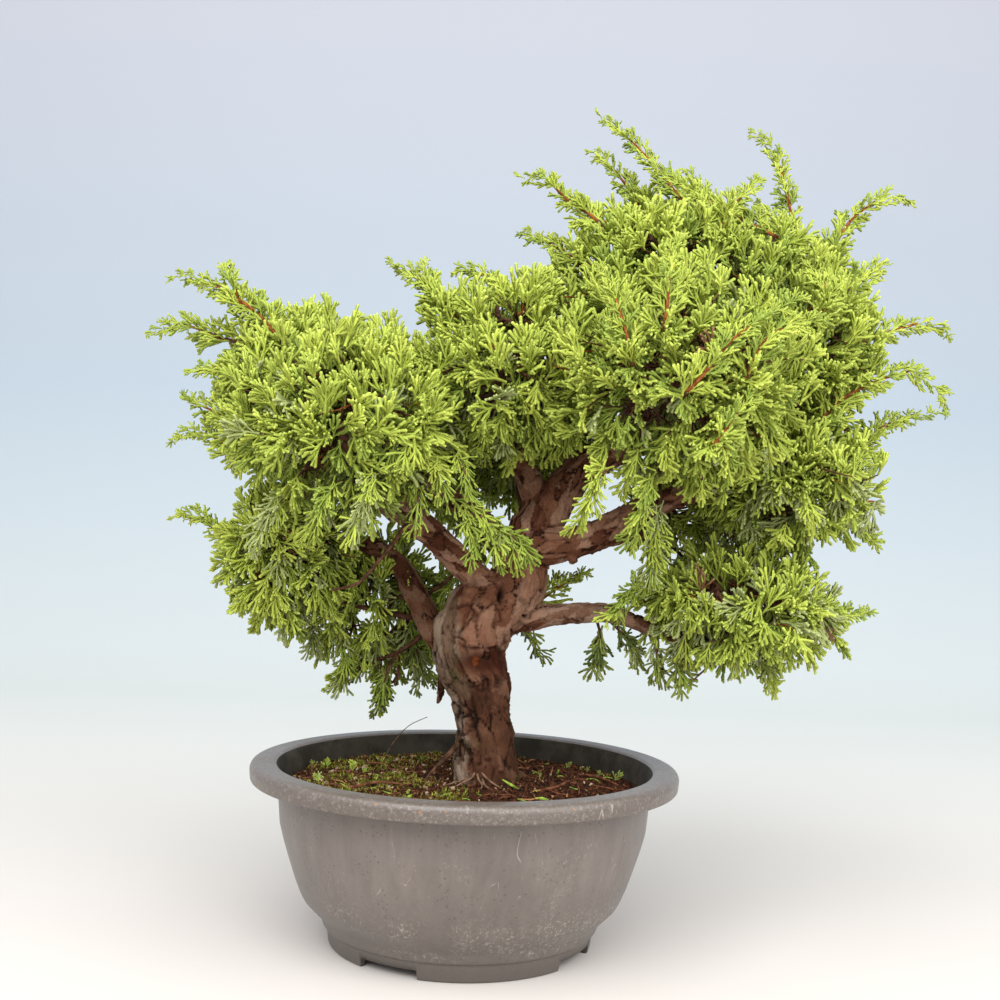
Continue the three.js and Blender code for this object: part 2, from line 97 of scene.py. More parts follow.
# Knobs and burls that the trunk's skin takes in: middle, and radii along X, Y and Z
BURLS = [
    ([-8, -9, 173], [12, 9, 13]),
    ([4, -19, 193], [8, 5, 6]),
    ([7, -17, 199], [6, 5, 4]),
    ([0, -14, 192], [5, 6, 6]),
    ([-7, -13, 161], [6, 5.5, 5]),
    ([12, -13, 180], [11, 8, 11]),
    ([28, -10, 190], [7, 6, 6]),
    ([27, -6, 206], [7, 6, 9]),
]
# A root that runs out under the top of the soil
SURFACE_ROOT = ([[24, 6, 93], [32, 12, 89], [38, 16, 86]], [3.4, 2.2, 1.1])
# Longer dead twigs on the soil, and cut bits of green
LYING_TWIGS = [
    [[-73, -25], [-60, -33], [-47, -32], [-34, -26]],
    [[40, -22], [52, -14], [58, -2], [60, 8]],
    [[-30, 30], [-42, 34], [-52, 30], [-60, 34]],
    [[66, 30], [74, 22], [80, 14], [88, 10]],
]
GREEN_BITS = [
    [[21, -18, 93], [26, -20, 90.5], [31, -21, 88]],
    [[36, -42, 87.5], [42, -44, 88.6], [49, -45, 87]],
    [[-30, -52, 87.5], [-27, -53, 89.4], [-26, -54, 90.5]],
]
# Thin roots that lie bare at the trunk's foot
ROOT_THREADS = [
    [[6, -15, 97], [4, -20, 93.5], [-1, -24, 91.5], [-7, -28, 88.5]],
    [[7, -16, 96], [8, -21, 93], [10, -25, 91], [9, -30, 88.5]],
    [[9, -16, 97], [12, -20, 94], [16, -22, 91.5], [21, -24, 89]],
    [[5, -19, 94], [1, -21, 92.5], [-6, -20, 90.5], [-13, -22, 88.5]],
    [[10, -20, 93], [12, -26, 90.5], [18, -29, 88.5]],
]
# A root that stands out of the trunk's left side, and a hair-like twig that stands on the soil
BARE_ROOT = (
    [[2, -2, 112], [-5, -5, 108.5], [-10, -7, 103], [-16, -9, 97], [-23, -12, 88.5]],
    [2.2, 1.7, 1.4, 1.0, 0.6],
)
HAIR_TWIG = ([[-50, 36, 88], [-46, 32, 99], [-40, 30, 108], [-34, 30, 114], [-24, 30, 119]], [0.35, 0.2])
# Seams in the trunk's front, as lines across and up, with their width
SEAMS = [
    ([[-16, 182], [-12.7, 184.7], [-5.6, 187.2], [-1.8, 189.5], [4, 189]], 1.5),
    ([[-1.8, 189.5], [2.2, 185.8], [1.2, 181.4], [-1.9, 176.8], [-5.1, 172.9]], 1.3),
    ([[-12.5, 176.3], [-11.2, 172.5], [-9, 170.4], [-6.2, 171], [-1.7, 169.5], [0.6, 165.8]], 1.4),
    ([[-11, 168.5], [-4.8, 166.9], [2, 165], [10.4, 164.5], [17, 165.3], [20.6, 167.6]], 1.9),
    ([[21.8, 176], [24.2, 172.8], [28, 174.6], [32.2, 180.2], [34.2, 185.8]], 1.3),
    ([[-1.4, 115.9], [2.4, 118.2], [6.7, 118.9], [8.1, 111.8]], 1.2),
    ([[2.6, 141], [3.6, 121.5], [6.4, 117]], 1.4),
    ([[12, 104], [16.5, 99], [15.5, 92]], 1.2),
    ([[12.5, 190.6], [16.5, 185.3], [17.3, 179.8], [12.4, 177.4]], 1.2),
]
LIMB_SAMPLES = 90  # points along a limb by which the bark finds its way
LIMB_OFFSET = 310  # between one limb's stretch of bark noise and the next one's
BOUGH_SWELL = 1.25  # how much wider a bough is where it leaves its limb
# Sizes in the bark, twice across the limb and once along it
PLATE_SIZE = [7.5, 7.5, 19]
FLAKE_SIZE = [2.9, 2.9, 8.5]
FIBRE_SIZE = [1.5, 1.5, 9]
# Places on the bark, as middle and reach
# The hollows are dented in and painted nearly black, as the shade inside them.
HOLLOWS = [([17, -20, 195], [1.7, 16, 5.5]), ([30, -12, 183], [1.4, 12, 1.2])]
KNOBBLY_SPOT = ([5, -18, 194], [11, 9, 7])
# A fold under the knobs, dented in and painted dark red-brown as its shadow.
SHADED_FOLD = ([8, -16, 157], [16, 14, 7])
RAISED_PLATE = ([11.5, -19, 184], [5, 9, 5.5])
MOSSY_SPOTS = [([-8, -20, 153], [6, 9, 9]), ([10, -18, 108], [6, 9, 7])]
PEELED_SPOT = ([4, -18, 158.5], [2.6, 9, 4.2])
GREY_SPOT = ([64, -8, 185], [32, 14, 12])
# Places where the bark is paler or darker, and by how much
TONED_SPOTS = [
    ([56, -6, 185], [24, 12, 12], 0.3),
    ([26, -10, 188], [10, 14, 22], 0.3),
    ([4, -18, 178], [9, 14, 10], -0.2),
]

# The boughs, each as points of its middle line and its radii along it
BOUGHS = {
    "bough_left": (
        [[18, -6, 190], [2, -11, 204], [-12, -15, 217], [-24, -19, 228], [-42, -28, 242], [-56, -36, 250]],
        [8.5, 7.4, 7.2, 7.4, 7.4, 6.3],
    ),
    "bough_left_back": (
        [[4, 10, 150], [-16, 16, 164], [-32, 28, 188], [-46, 36, 209], [-66, 38, 220]],
        [8, 7.5, 6.8, 6, 5],
    ),
    "bough_left_low": ([[-34, 30, 191], [-44, 44, 192], [-50, 54, 189]], [4.5, 4, 3.4]),
    "bough_left_top": ([[-40, -26, 238], [-66, -24, 262], [-96, -14, 284]], [6, 5.5, 4.5]),
    "bough_left_rear": ([[26, 8, 212], [-4, 30, 242], [-40, 46, 262]], [7.5, 6.5, 5]),
    "bough_top": (
        [[34, 5, 228], [46, 8, 249], [60, 10, 266], [84, 10, 284], [100, 8, 318], [108, 6, 350]],
        [12, 11, 9.5, 8.5, 7, 5.5],
    ),
    "bough_centre": ([[38, 8, 244], [26, 8, 270], [12, 0, 296]], [7, 6, 4.8]),
    "bough_back": ([[30, 8, 222], [32, 38, 242], [26, 62, 268]], [7, 6, 4.8]),
    "bough_front": ([[76, 8, 278], [94, -22, 294], [102, -40, 306]], [6.5, 5.6, 4.6]),
    "bough_top_right": ([[84, 8, 284], [122, 6, 310], [152, 2, 330]], [7, 6, 4.8]),
    "bough_right_rear": ([[92, 10, 300], [104, 36, 318], [112, 54, 328]], [6, 5.4, 4.6]),
    "bough_right": (
        [[34, -2, 222], [62, -4, 226], [80, -7, 235], [104, -10, 249], [136, -11, 260]],
        [9.5, 8.6, 8, 6.5, 5],
    ),
    "bough_right_low": (
        [[22, -2, 181], [40, -4, 183], [54, -6, 184.5], [76, -8, 186], [101, -10, 179], [126, -12, 172]],
        [8, 5.8, 5.3, 4.3, 4.2, 3.6],
    ),
    "bough_right_under": ([[78, -6, 231], [96, 28, 232], [110, 48, 232]], [5.6, 4.8, 4]),
}
# Dead ends of limbs
STUBS = [
    ([[-10, 13, 156], [-15.5, 12, 145], [-15.6, 11, 136], [-17.4, 10, 129.5]], [3.2, 1.7, 2.2, 1.0]),
    ([[55, -6, 222], [57, -9, 213.5]], [3.0, 2.2]),
]


def mass(bough, middle, size, hang, grey, close, *shoots):
    """A mass of foliage: the bough that carries it, the middle and reach of what its sprays fill,
    how far they hang (0 to 1), how grey they are, how close they stand, and the shoots that stand
    out of it, each from its foot to its tip."""
    return SimpleNamespace(
        bough=bough, middle=np.array(middle, float), size=np.array(size, float),
        hang=hang, grey=grey, close=close, shoots=shoots,
    )


MASSES = {
    "crown_left_front": mass("bough_left", [-72, -50, 285], [66, 52, 60], 0.3, 0.12, 1),
    "crown_left_tip": mass(
        "bough_left_top", [-104, -4, 305], [46, 50, 53], 0, 0, 0.9,
        [[-104, -36, 323], [-123, -30, 345], [-153, -26, 362], [-173, -24, 365]],
        [[-132, -28, 350], [-142, -26, 372]],
        [[-141, -14, 331], [-149, -12, 334], [-170, -10, 340], [-186, -10, 334]],
        [[-122, -30, 311], [-139, -28, 314], [-158, -26, 312]],
        [[-129, -20, 284], [-149, -16, 292], [-165, -14, 299]],
        [[-130, -10, 266], [-142, -8, 274], [-158, -8, 280], [-174, -8, 275]],
    ),
    "crown_left_rear": mass(
        "bough_left_rear", [-66, 58, 298], [60, 54, 64], 0, 0.1, 0.9,
        [[-62, 72, 312], [-58, 82, 334], [-50, 92, 350]],
    ),
    "crown_left_side": mass(
        "bough_left_back", [-106, 16, 211], [44, 58, 55], 0.6, 0.45, 0.7,
        [[-130, 24, 206], [-142, 28, 213], [-152, 30, 223], [-162, 32, 232], [-180, 32, 233]],
    ),
    "crown_left_low": mass(
        "bough_left_low", [-56, 60, 182], [50, 46, 54], 0.8, 0.45, 0.4,
        [[-54, 54, 166], [-54, 48, 146], [-53, 44, 127]],
        [[-40, 62, 164], [-28, 64, 146], [-18, 66, 131]],
    ),
    "crown_centre": mass(
        "bough_centre", [16, -14, 322], [54, 58, 60], 0.05, 0.1, 1,
        [[-8, -20, 338], [-15, -18, 350], [-26, -16, 360], [-41, -14, 374], [-53, -12, 378]],
        [[-26, -16, 360], [-33, -14, 379]],
        [[10, 10, 368], [-3, 12, 380], [-15, 14, 382]],
    ),
    "crown_rear": mass(
        "bough_back", [20, 82, 300], [60, 50, 62], 0, 0.1, 0.9,
        [[6, 92, 334], [0, 98, 354], [-10, 104, 368]],
    ),
    "crown_top": mass(
        "bough_top", [111, 4, 377], [79, 60, 50], 0, 0, 1,
        [[118, 6, 416], [95, 4, 445], [83, 2, 457], [61, 0, 472]],
        [[167, -20, 395], [148, -20, 406], [132, -18, 414], [114, -16, 426], [91, -14, 437]],
        [[98, 16, 413], [89, 16, 425], [76, 18, 443], [61, 20, 457]],
        [[69, -4, 404], [59, -6, 412], [46, -8, 419], [33, -10, 430], [18, -10, 429]],
        [[52, 6, 388], [43, 8, 395], [22, 10, 404]],
        [[84, 12, 400], [70, 14, 412], [54, 14, 422], [44, 12, 430]],
        [[110, 22, 410], [98, 26, 424], [88, 28, 440]],
        [[130, 10, 414], [126, 8, 428], [116, 8, 442]],
        [[130, -34, 398], [138, -32, 414], [150, -30, 428]],
    ),
    "crown_front": mass(
        "bough_front", [108, -62, 315], [72, 52, 68], 0.15, 0.05, 1,
        [[77, -104, 313], [74, -110, 323], [69, -112, 338], [64, -110, 351], [59, -104, 362]],
        [[91, -110, 330], [92, -112, 341], [93, -108, 356], [97, -100, 375]],
        [[100, -112, 297], [110, -118, 308], [123, -118, 325], [132, -116, 332], [159, -108, 350]],
        [[132, -110, 308], [137, -114, 323], [148, -112, 332], [176, -104, 340]],
        [[116, -110, 274], [127, -114, 290], [140, -112, 306]],
        [[119, -104, 282], [122, -110, 274], [125, -110, 257]],
    ),
    "crown_right": mass(
        "bough_top_right", [181, 0, 342], [46, 58, 56], 0, 0, 1,
        [[200, 12, 388], [209, 14, 413], [221, 14, 425], [236, 15, 434], [253, 15, 430]],
        [[186, 14, 388], [182, 18, 410], [176, 20, 438], [168, 20, 460], [153, 20, 473]],
        [[176, 0, 392], [168, 4, 412], [158, 6, 426]],
        [[207, -4, 371], [218, -3, 381], [229, -2, 391]],
        [[191, -20, 330], [212, -18, 341], [232, -16, 350], [248, -16, 354], [264, -16, 348]],
        [[180, -36, 290], [201, -32, 310], [216, -30, 318], [234, -28, 326], [254, -26, 314],
         [260, -26, 298]],
        [[217, 0, 282], [231, 4, 297], [250, 8, 304], [267, 10, 308]],
        [[181, -50, 350], [183, -54, 364], [172, -52, 377]],
    ),
    "crown_right_rear": mass(
        "bough_right_rear", [122, 78, 336], [66, 52, 60], 0, 0.1, 0.9,
        [[140, 96, 356], [158, 106, 370], [176, 116, 380]],
    ),
    "crown_right_mid": mass(
        "bough_right", [175, -12, 264], [51, 58, 46], 0.4, 0.3, 0.95,
        [[155, -60, 279], [152, -72, 292], [148, -80, 306]],
        [[204, -2, 250], [220, 4, 240], [234, 10, 228]],
    ),
    "crown_right_low": mass(
        "bough_right_low", [150, -16, 189], [62, 52, 42], 0.58, 0.6, 0.75,
        [[186, -14, 190], [201, -12, 189], [222, -12, 191]],
        [[158, -16, 178], [164, -16, 162], [170, -16, 146]],
    ),
    "crown_right_under": mass(
        "bough_right_under", [140, 64, 238], [48, 50, 48], 0.5, 0.3, 0.45,
        [[132, 72, 206], [126, 76, 188], [122, 80, 172]],
    ),
}
# Sprays on thin twigs of their own: how many plumes each carries, their kind, the colours that
# they take, and the way of the twig from its foot to its tip
SPRAYS = [
    (4, "hanging", "mid light", [[-24, -24, 262], [-27, -54, 258], [-28, -62, 246], [-29, -64, 226]]),
    (6, "hanging", "mid light mid", [[-30, -44, 262], [-16, -50, 250], [-4, -54, 238], [2, -58, 216]]),
    (6, "hanging", "light mid tip", [[-34, -40, 278], [-26, -58, 270], [-19, -62, 260], [-16, -64, 248]]),
    (5, "hanging", "mid light", [[-14, -40, 280], [-8, -54, 268], [-4, -58, 258], [-2, -60, 248]]),
    (7, "hanging", "light mid tip", [[-26, -46, 258], [-8, -52, 246], [8, -56, 234], [14, -60, 216]]),
    (7, "hanging", "mid light mid", [[-16, -50, 250], [2, -54, 236], [17, -56, 228], [25, -56, 214]]),
    (4, "hanging", "mid olive tip", [[2, -54, 238], [14, -56, 232], [23, -58, 226], [30, -58, 219]]),
    (9, "plain", "mid olive light", [[-14, 44, 240], [-6, 44, 234], [0, 42, 226], [4, 40, 214]]),
    (9, "plain", "mid olive light", [[-48, 44, 256], [-34, 44, 250], [-22, 42, 243], [-12, 40, 234]]),
    (8, "plain", "mid olive", [[-30, 40, 262], [-16, 40, 256], [-4, 38, 248]]),
    (8, "hanging", "olive mid grey", [[-40, 40, 226], [-26, 42, 220], [-14, 40, 212], [-6, 38, 200]]),
    (9, "hanging", "light mid", [[-60, -60, 256], [-70, -78, 250], [-74, -86, 240], [-80, -86, 226]]),
    (9, "hanging", "light tip grey", [[-46, -60, 258], [-50, -84, 254], [-52, -92, 244], [-58, -90, 228]]),
    (7, "hanging", "light grey", [[-90, -50, 250], [-98, -64, 244], [-103, -70, 234], [-110, -70, 222]]),
    (9, "hanging", "light tip", [[84, -60, 268], [66, -82, 262], [60, -90, 250], [54, -86, 234]]),
    (9, "hanging", "light mid", [[98, -60, 264], [90, -82, 258], [86, -88, 244], [82, -84, 228]]),
    (12, "hanging", "light grey mid", [[100, -40, 258], [98, -58, 248], [96, -64, 230], [94, -60, 206]]),
    (11, "plain", "light tip mid", [[104, -10, 180], [94, -26, 196], [88, -34, 200], [77, -36, 186]]),
    (6, "plain", "deep olive", [[68, -8, 187], [73, -6, 176], [73, -6, 166], [71, -6, 156]]),
    (6, "plain", "deep olive grey", [[74, -8, 186], [82, -8, 178], [90, -8, 170], [94, -8, 162]]),
    (6, "plain", "mid olive", [[110, -10, 178], [115, -20, 172], [116, -22, 162], [118, -22, 150]]),
    (5, "hanging", "olive grey", [[98, -10, 182], [103, -16, 174], [104, -18, 164], [105, -18, 154]]),
    (9, "hanging", "mid light grey", [[-43, 36, 156], [-58, 36, 150], [-70, 34, 146], [-78, 32, 136]]),
    (6, "hanging", "mid olive grey", [[-43, 36, 156], [-49, 35, 146], [-51, 34, 136], [-52, 34, 126]]),
    (6, "hanging", "grey mid light", [[-76, 34, 184], [-76, 30, 172], [-75, 28, 160], [-73, 27, 146]]),
    (6, "hanging", "grey light olive", [[-92, 30, 184], [-93, 28, 174], [-93, 27, 158]]),
    (6, "hanging", "grey olive", [[-40, 50, 176], [-36, 52, 164], [-32, 52, 152], [-30, 52, 138]]),
    (5, "hanging", "grey light", [[22, 14, 178], [30, 42, 174], [37, 54, 166], [44, 56, 154]]),
]
# A short shoot that grows straight from the wood
LONE_SHOOT = [[30, 16, 184], [39, 19, 190], [47, 20, 196], [55, 20, 202], [66, 20, 207]]
# Green sprigs that stand on the soil: place, lean along X, scale and colour
SPRIGS = [
    (-90, 38, -0.5, 0.38, "olive"), (-84, 34, 0.3, 0.5, "mid"), (-84, -11, 0.9, 0.45, "grey"),
    (-80, -14, -0.8, 0.4, "mid"), (-66, 22, 0.1, 0.48, "light"), (-60, 18, 0.7, 0.3, "mid"),
    (-76, 4, -0.3, 0.28, "olive"), (-50, 40, 0.2, 0.28, "mid"), (72, 50, 0.5, 0.28, "olive"),
    (80, 36, -0.3, 0.3, "olive"), (86, 24, 0.9, 0.5, "olive"), (60, 60, 0.6, 0.4, "olive"),
    (-30, -40, 0.3, 0.25, "mid"), (44, 22, -0.3, 0.25, "olive"),
]
# Bare twigs: their way and their radius at each end
BARE_TWIGS = [
    ([[-30, -22, 238], [-35, -38, 233], [-42, -41, 221], [-50, -40, 211], [-60, -41, 199], [-74, -38, 195]],
     1.5, 0.7),
    ([[-30, 28, 178], [-37, 32, 177], [-51, 32, 180], [-65, 32, 182], [-84, 30, 186]], 2.4, 1.0),
    ([[-24, 24, 172], [-31, 34, 165], [-43, 36, 156], [-61, 34, 149], [-76, 32, 140]], 1.9, 0.6),
    ([[-43, 36, 156], [-49, 35, 144], [-51, 34, 134], [-52, 34, 124]], 1.0, 0.5),
    ([[-36, 30, 186], [-24, 34, 193], [-15, 34, 200], [-4, 36, 212]], 1.5, 0.8),
    ([[18, 8, 176], [24, 13, 180], [30, 16, 184]], 1.3, 1.1),
    ([[103, -14, 181], [104, -18, 164], [106, -18, 145]], 1.0, 0.5),
    ([[136, -16, 178], [137, -22, 166], [124, -24, 152]], 1.0, 0.5),
    ([[68, -8, 186], [60, -12, 180], [52, -14, 184]], 0.9, 0.4),
]
# The kinds of plume: how many of each are made, and their length, side branches, the angles that
# these stand out by in degrees, thickness, fullness, and millimetres between branches of branches
PLUME_KINDS = {
    "fan": (8, 13, 5, (32, 54)),
    "plain": (10, 18, 5, (28, 50), 0.96),
    "hanging": (8, 24, 5, (22, 46), 0.86, 0.62, 6.5),
    "tail": (3, 20, 6, (22, 38), 0.9, 0.1),
}
PLUME_LENGTHS = {kind: values[1] for kind, values in PLUME_KINDS.items()}
# For each spray's colour, the fingers and their tips
LEAF_COLOURS = {
    "tip": ((0.46, 0.54, 0.08), (0.52, 0.6, 0.115)),
    "light": ((0.375, 0.455, 0.065), (0.44, 0.52, 0.095)),
    "mid": ((0.285, 0.37, 0.055), (0.34, 0.425, 0.08)),
    "olive": ((0.24, 0.285, 0.06), (0.295, 0.34, 0.08)),
    "deep": ((0.12, 0.16, 0.034), (0.155, 0.2, 0.045)),
    "grey": ((0.36, 0.41, 0.145), (0.43, 0.48, 0.195)),
    "brown": ((0.2, 0.1, 0.045), (0.3, 0.17, 0.08)),
}
# Hollows of the crown where the sprays take darker greens as painted shade: middle, reach, and by how much
SHADED_HOLLOWS = [
    ([146, -24, 368], [40, 50, 26], 0.45),
    ([-50, -60, 236], [26, 50, 16], 0.2),
    ([66, -60, 296], [24, 50, 20], 0.12),
]
CELL_OVERLAP = 9  # how far a plume's tip may lean into its neighbour's space
FURTHEST = 1.12  # how far out a plume's tip may be, as a share of its mass's size
LEAST_ROOM = 0.42  # the share of its size that a mass needs in a direction to grow a twig there
FAN_SPACING = 2.8  # along a long shoot
FINGER_RADIUS = 1.04
TUFTS_PER_MASS = 30
TWIGLETS_PER_TUFT = 6.6
TUFT_SPREAD = 0.4  # radius of a tuft, as seen from the middle of its mass
SIDE_SPRAYS = (0.92, 0.6)  # where plumes stand beside a twiglet, as shares of its length
SPRAY_TURN = 2.4  # radians about a twig from one spray to the next
EVEN_TURN = math.pi * (3 - math.sqrt(5))  # the turn that spreads points evenly over a disc or sphere
PIECE_LIMIT = 190000  # triangles

# The sweep behind, in millimetres
SWEEP_START = 1000
SWEEP_RADIUS = 800
SWEEP_HEIGHT = 4000
SWEEP_HALF_WIDTH = 6000
SWEEP_COLOUR_LENGTH = 3.2  # metres from the pot's axis, back along the floor and up the wall
# Cream on the floor, pale blue at the bend, then grey-blue and pale grey up the wall
SWEEP_COLOURS = [
    (0.0, (0.64, 0.6, 0.56)), (0.3, (0.65, 0.68, 0.65)), (0.7, (0.45, 0.52, 0.58)), (1.0, (0.53, 0.54, 0.6)),
]
LIGHT_AIM = [20, 0, 240]  # the place that both lights face

# The camera, as fitted to the view: focal length in pixels of a 1000 pixel wide frame
FOCAL_PIXELS = 1271
FRAME_PIXELS = 1000
SENSOR_MM = 36
CAMERA_PLACE = [14.4, -723, 227]
CAMERA_TILT_UP = 1.63
CAMERA_ROLL = 1.99


# Small helpers
CURVE_STEPS = 24  # points worked out between two given points of a curve


def placed(points):
    """Millimetres from the pot's axis to metres in the model's frame."""
    return np.asarray(points, float) * MM + POT_AXIS


def unit(vectors):
    vectors = np.asarray(vectors, float)
    return vectors / np.maximum(np.linalg.norm(vectors, axis=-1, keepdims=True), 1e-9)


def columns(*values):
    return np.stack(np.broadcast_arrays(*values), -1)


def around(count):
    """Evenly spaced angles in one full turn."""
    return np.linspace(0, 2 * math.pi, count, endpoint=False)


def step_lengths(line):
    return np.linalg.norm(np.diff(line, axis=0), axis=1)


def distances(line):
    """How far along the line each of its points lies."""
    return np.concatenate([[0], np.cumsum(step_lengths(line))])


def spread_out(values, count):
    """A short row of values as a longer one, with even steps between them."""
    return np.interp(np.linspace(0, 1, count), np.linspace(0, 1, len(values)), values)


def scrambled(cells, seed):
    """A whole number for each cell of a lattice that looks random and is always the same."""
    mixed = cells[:, 0] * 374761393 + cells[:, 1] * 668265263 + cells[:, 2] * 1442695041 + seed * 144665
    mixed = (mixed ^ (mixed >> 13)) * 1274126177
    return mixed ^ (mixed >> 16)


def lattice_noise(points, seed):
    """Smooth noise from -1 to 1 at each row of points, with one cell of its lattice to a unit."""
    cell = np.floor(points).astype(np.int64)
    share = points - cell
    fade = share * share * (3 - 2 * share)
    total = np.zeros(len(points))
    for corner in itertools.product((0, 1), repeat=3):
        value = (scrambled(cell + corner, seed) & 0xFFFF) / 32767.5 - 1
        total += value * np.prod(np.where(corner, fade, 1 - fade), axis=1)
    return total


def layered_noise(points, seed, octaves=3):
    points = np.asarray(points, float)
    total = sum(lattice_noise(points * 2**i, seed + i) / 2**i for i in range(octaves))
    return total / (2 - 2 ** (1 - octaves))


def smooth_step(low, high, values):
    share = np.clip((np.asarray(values, float) - low) / (high - low), 0, 1)
    return share * share * (3 - 2 * share)


def smooth_curve(points, count):
    """Points at even spacing along a centripetal Catmull-Rom curve through the given ones."""
    points = np.asarray(points, float)
    whole = np.vstack([2 * points[0] - points[1], points, 2 * points[-1] - points[-2]])
    fine = []
    for p0, p1, p2, p3 in zip(whole, whole[1:], whole[2:], whole[3:]):
        gaps = [math.sqrt(max(np.linalg.norm(b - a), 1e-6)) for a, b in ((p0, p1), (p1, p2), (p2, p3))]
        t0, t1, t2, t3 = np.cumsum([0, *gaps])
        t = np.linspace(t1, t2, CURVE_STEPS)[:, None]
        a1 = (t1 - t) / (t1 - t0) * p0 + (t - t0) / (t1 - t0) * p1
        a2 = (t2 - t) / (t2 - t1) * p1 + (t - t1) / (t2 - t1) * p2
        a3 = (t3 - t) / (t3 - t2) * p2 + (t - t2) / (t3 - t2) * p3
        b1 = (t2 - t) / (t2 - t0) * a1 + (t - t0) / (t2 - t0) * a2
        b2 = (t3 - t) / (t3 - t1) * a2 + (t - t1) / (t3 - t1) * a3
        fine.append((t2 - t) / (t2 - t1) * b1 + (t - t1) / (t2 - t1) * b2)
    fine = np.vstack(fine)
    along = distances(fine)
    wanted = np.linspace(0, along[-1], count)
    return columns(*(np.interp(wanted, along, fine[:, axis]) for axis in range(3)))


def side_frames(curve):
    """Two directions across the curve at each of its points, carried along without twist."""
    tangents = unit(np.gradient(curve, axis=0))
    first = np.cross(tangents[0], [0.31, 0.87, 0.39])
    normals = [first / np.linalg.norm(first)]
    for tangent in tangents[1:]:
        carried = normals[-1] - tangent * np.dot(normals[-1], tangent)
        normals.append(carried / np.linalg.norm(carried))
    return np.array(normals), np.cross(tangents, normals)


def cell_faces(a, b, c, d):
    """Two triangles for each cell of a grid, between a, b in one row and c, d in the next."""
    return np.concatenate([columns(a, c, d), columns(a, d, b)]).reshape(-1, 3)


def tube(points, radii, sides, steps, swell=None):
    """A closed tapering tube along a smooth curve: its vertices and triangles. Where swell is
    given, it says from each point's way out and height how much further out it lies."""
    curve = smooth_curve(points, steps + 1)
    normals, binormals = side_frames(curve)
    angles = around(sides)[:, None]
    across = normals[:, None] * np.cos(angles) + binormals[:, None] * np.sin(angles)
    radius = spread_out(radii, steps + 1)[:, None]
    if swell:
        radius = radius * swell(across, curve[:, None, 2])
    rings = curve[:, None] + across * radius[..., None]
    vertices = np.vstack([rings.reshape(-1, 3), curve[:1], curve[-1:]])
    return vertices, tube_faces(sides, steps)


def tube_faces(sides, steps):
    """Triangles of a tube whose two end points come after its rings."""
    ring = np.arange(steps)[:, None] * sides
    side = np.arange(sides)
    after = (side + 1) % sides
    walls = cell_faces(ring + side, ring + sides + side, ring + after, ring + sides + after)
    start = (steps + 1) * sides
    last = steps * sides
    return np.vstack([
        walls, columns(start, after, side), columns(start + 1, last + side, last + after),
    ])


def merged(parts):
    """Joins (vertices, triangles) pairs into one pair."""
    counts = np.cumsum([0] + [len(vertices) for vertices, _ in parts])
    vertices = np.vstack([vertices for vertices, _ in parts])
    triangles = np.vstack([triangles + start for (_, triangles), start in zip(parts, counts)])
    return vertices, triangles


def copies(vertices, triangles, matrices, places):
    """One copy of a small mesh for each 3x3 matrix and place."""
    spread = np.einsum("nij,vj->nvi", matrices, vertices) + places[:, None]
    offsets = np.arange(len(matrices))[:, None, None] * len(vertices)
    return spread.reshape(-1, 3), (triangles[None] + offsets).reshape(-1, 3)


def add_object(name, data):
    made = bpy.data.objects.new(name, data)
    bpy.context.scene.collection.objects.link(made)
    return made


def add_piece(name, vertices, triangles, materials, slot, slots=None, smooth=True):
    """A mesh object from millimetre arrays, riding on the one body if it has a slot."""
    mesh = bpy.data.meshes.new(name)
    mesh.vertices.add(len(vertices))
    mesh.vertices.foreach_set("co", placed(vertices).astype(np.float32).ravel())
    mesh.loops.add(3 * len(triangles))
    mesh.loops.foreach_set("vertex_index", np.asarray(triangles, np.int32).ravel())
    mesh.polygons.add(len(triangles))
    mesh.polygons.foreach_set("loop_start", np.arange(0, 3 * len(triangles), 3, dtype=np.int32))
    for material in materials:
        mesh.materials.append(material)
    if slots is not None:
        mesh.polygons.foreach_set("material_index", np.asarray(slots, np.int32))
    mesh.update(calc_edges=True)
    mesh.polygons.foreach_set("use_smooth", np.full(len(triangles), smooth))
    piece = add_object(name, mesh)
    if slot:
        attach(piece, "root")
    return piece


def point_vectors(mesh, name):
    """One vector for each point of the mesh, such as its place or its normal."""
    values = np.empty(3 * len(mesh.vertices), np.float32)
    mesh.vertices.foreach_get(name, values)
    return values.reshape(-1, 3)


def add_values(mesh, name, values):
    """Keeps one number for each point of the mesh, for its material to read."""
    layer = mesh.attributes.new(name, "FLOAT", "POINT")
    layer.data.foreach_set("value", values.astype(np.float32))


# Materials
def new_material(name, colour, roughness, specular):
    material = bpy.data.materials.new(name)
    material.use_nodes = True
    shader = material.node_tree.nodes["Principled BSDF"]
    shader.inputs["Base Color"].default_value = (*colour, 1)
    shader.inputs["Roughness"].default_value = roughness
    shader.inputs["Specular IOR Level"].default_value = specular
    return material, Tree(material.node_tree, shader)


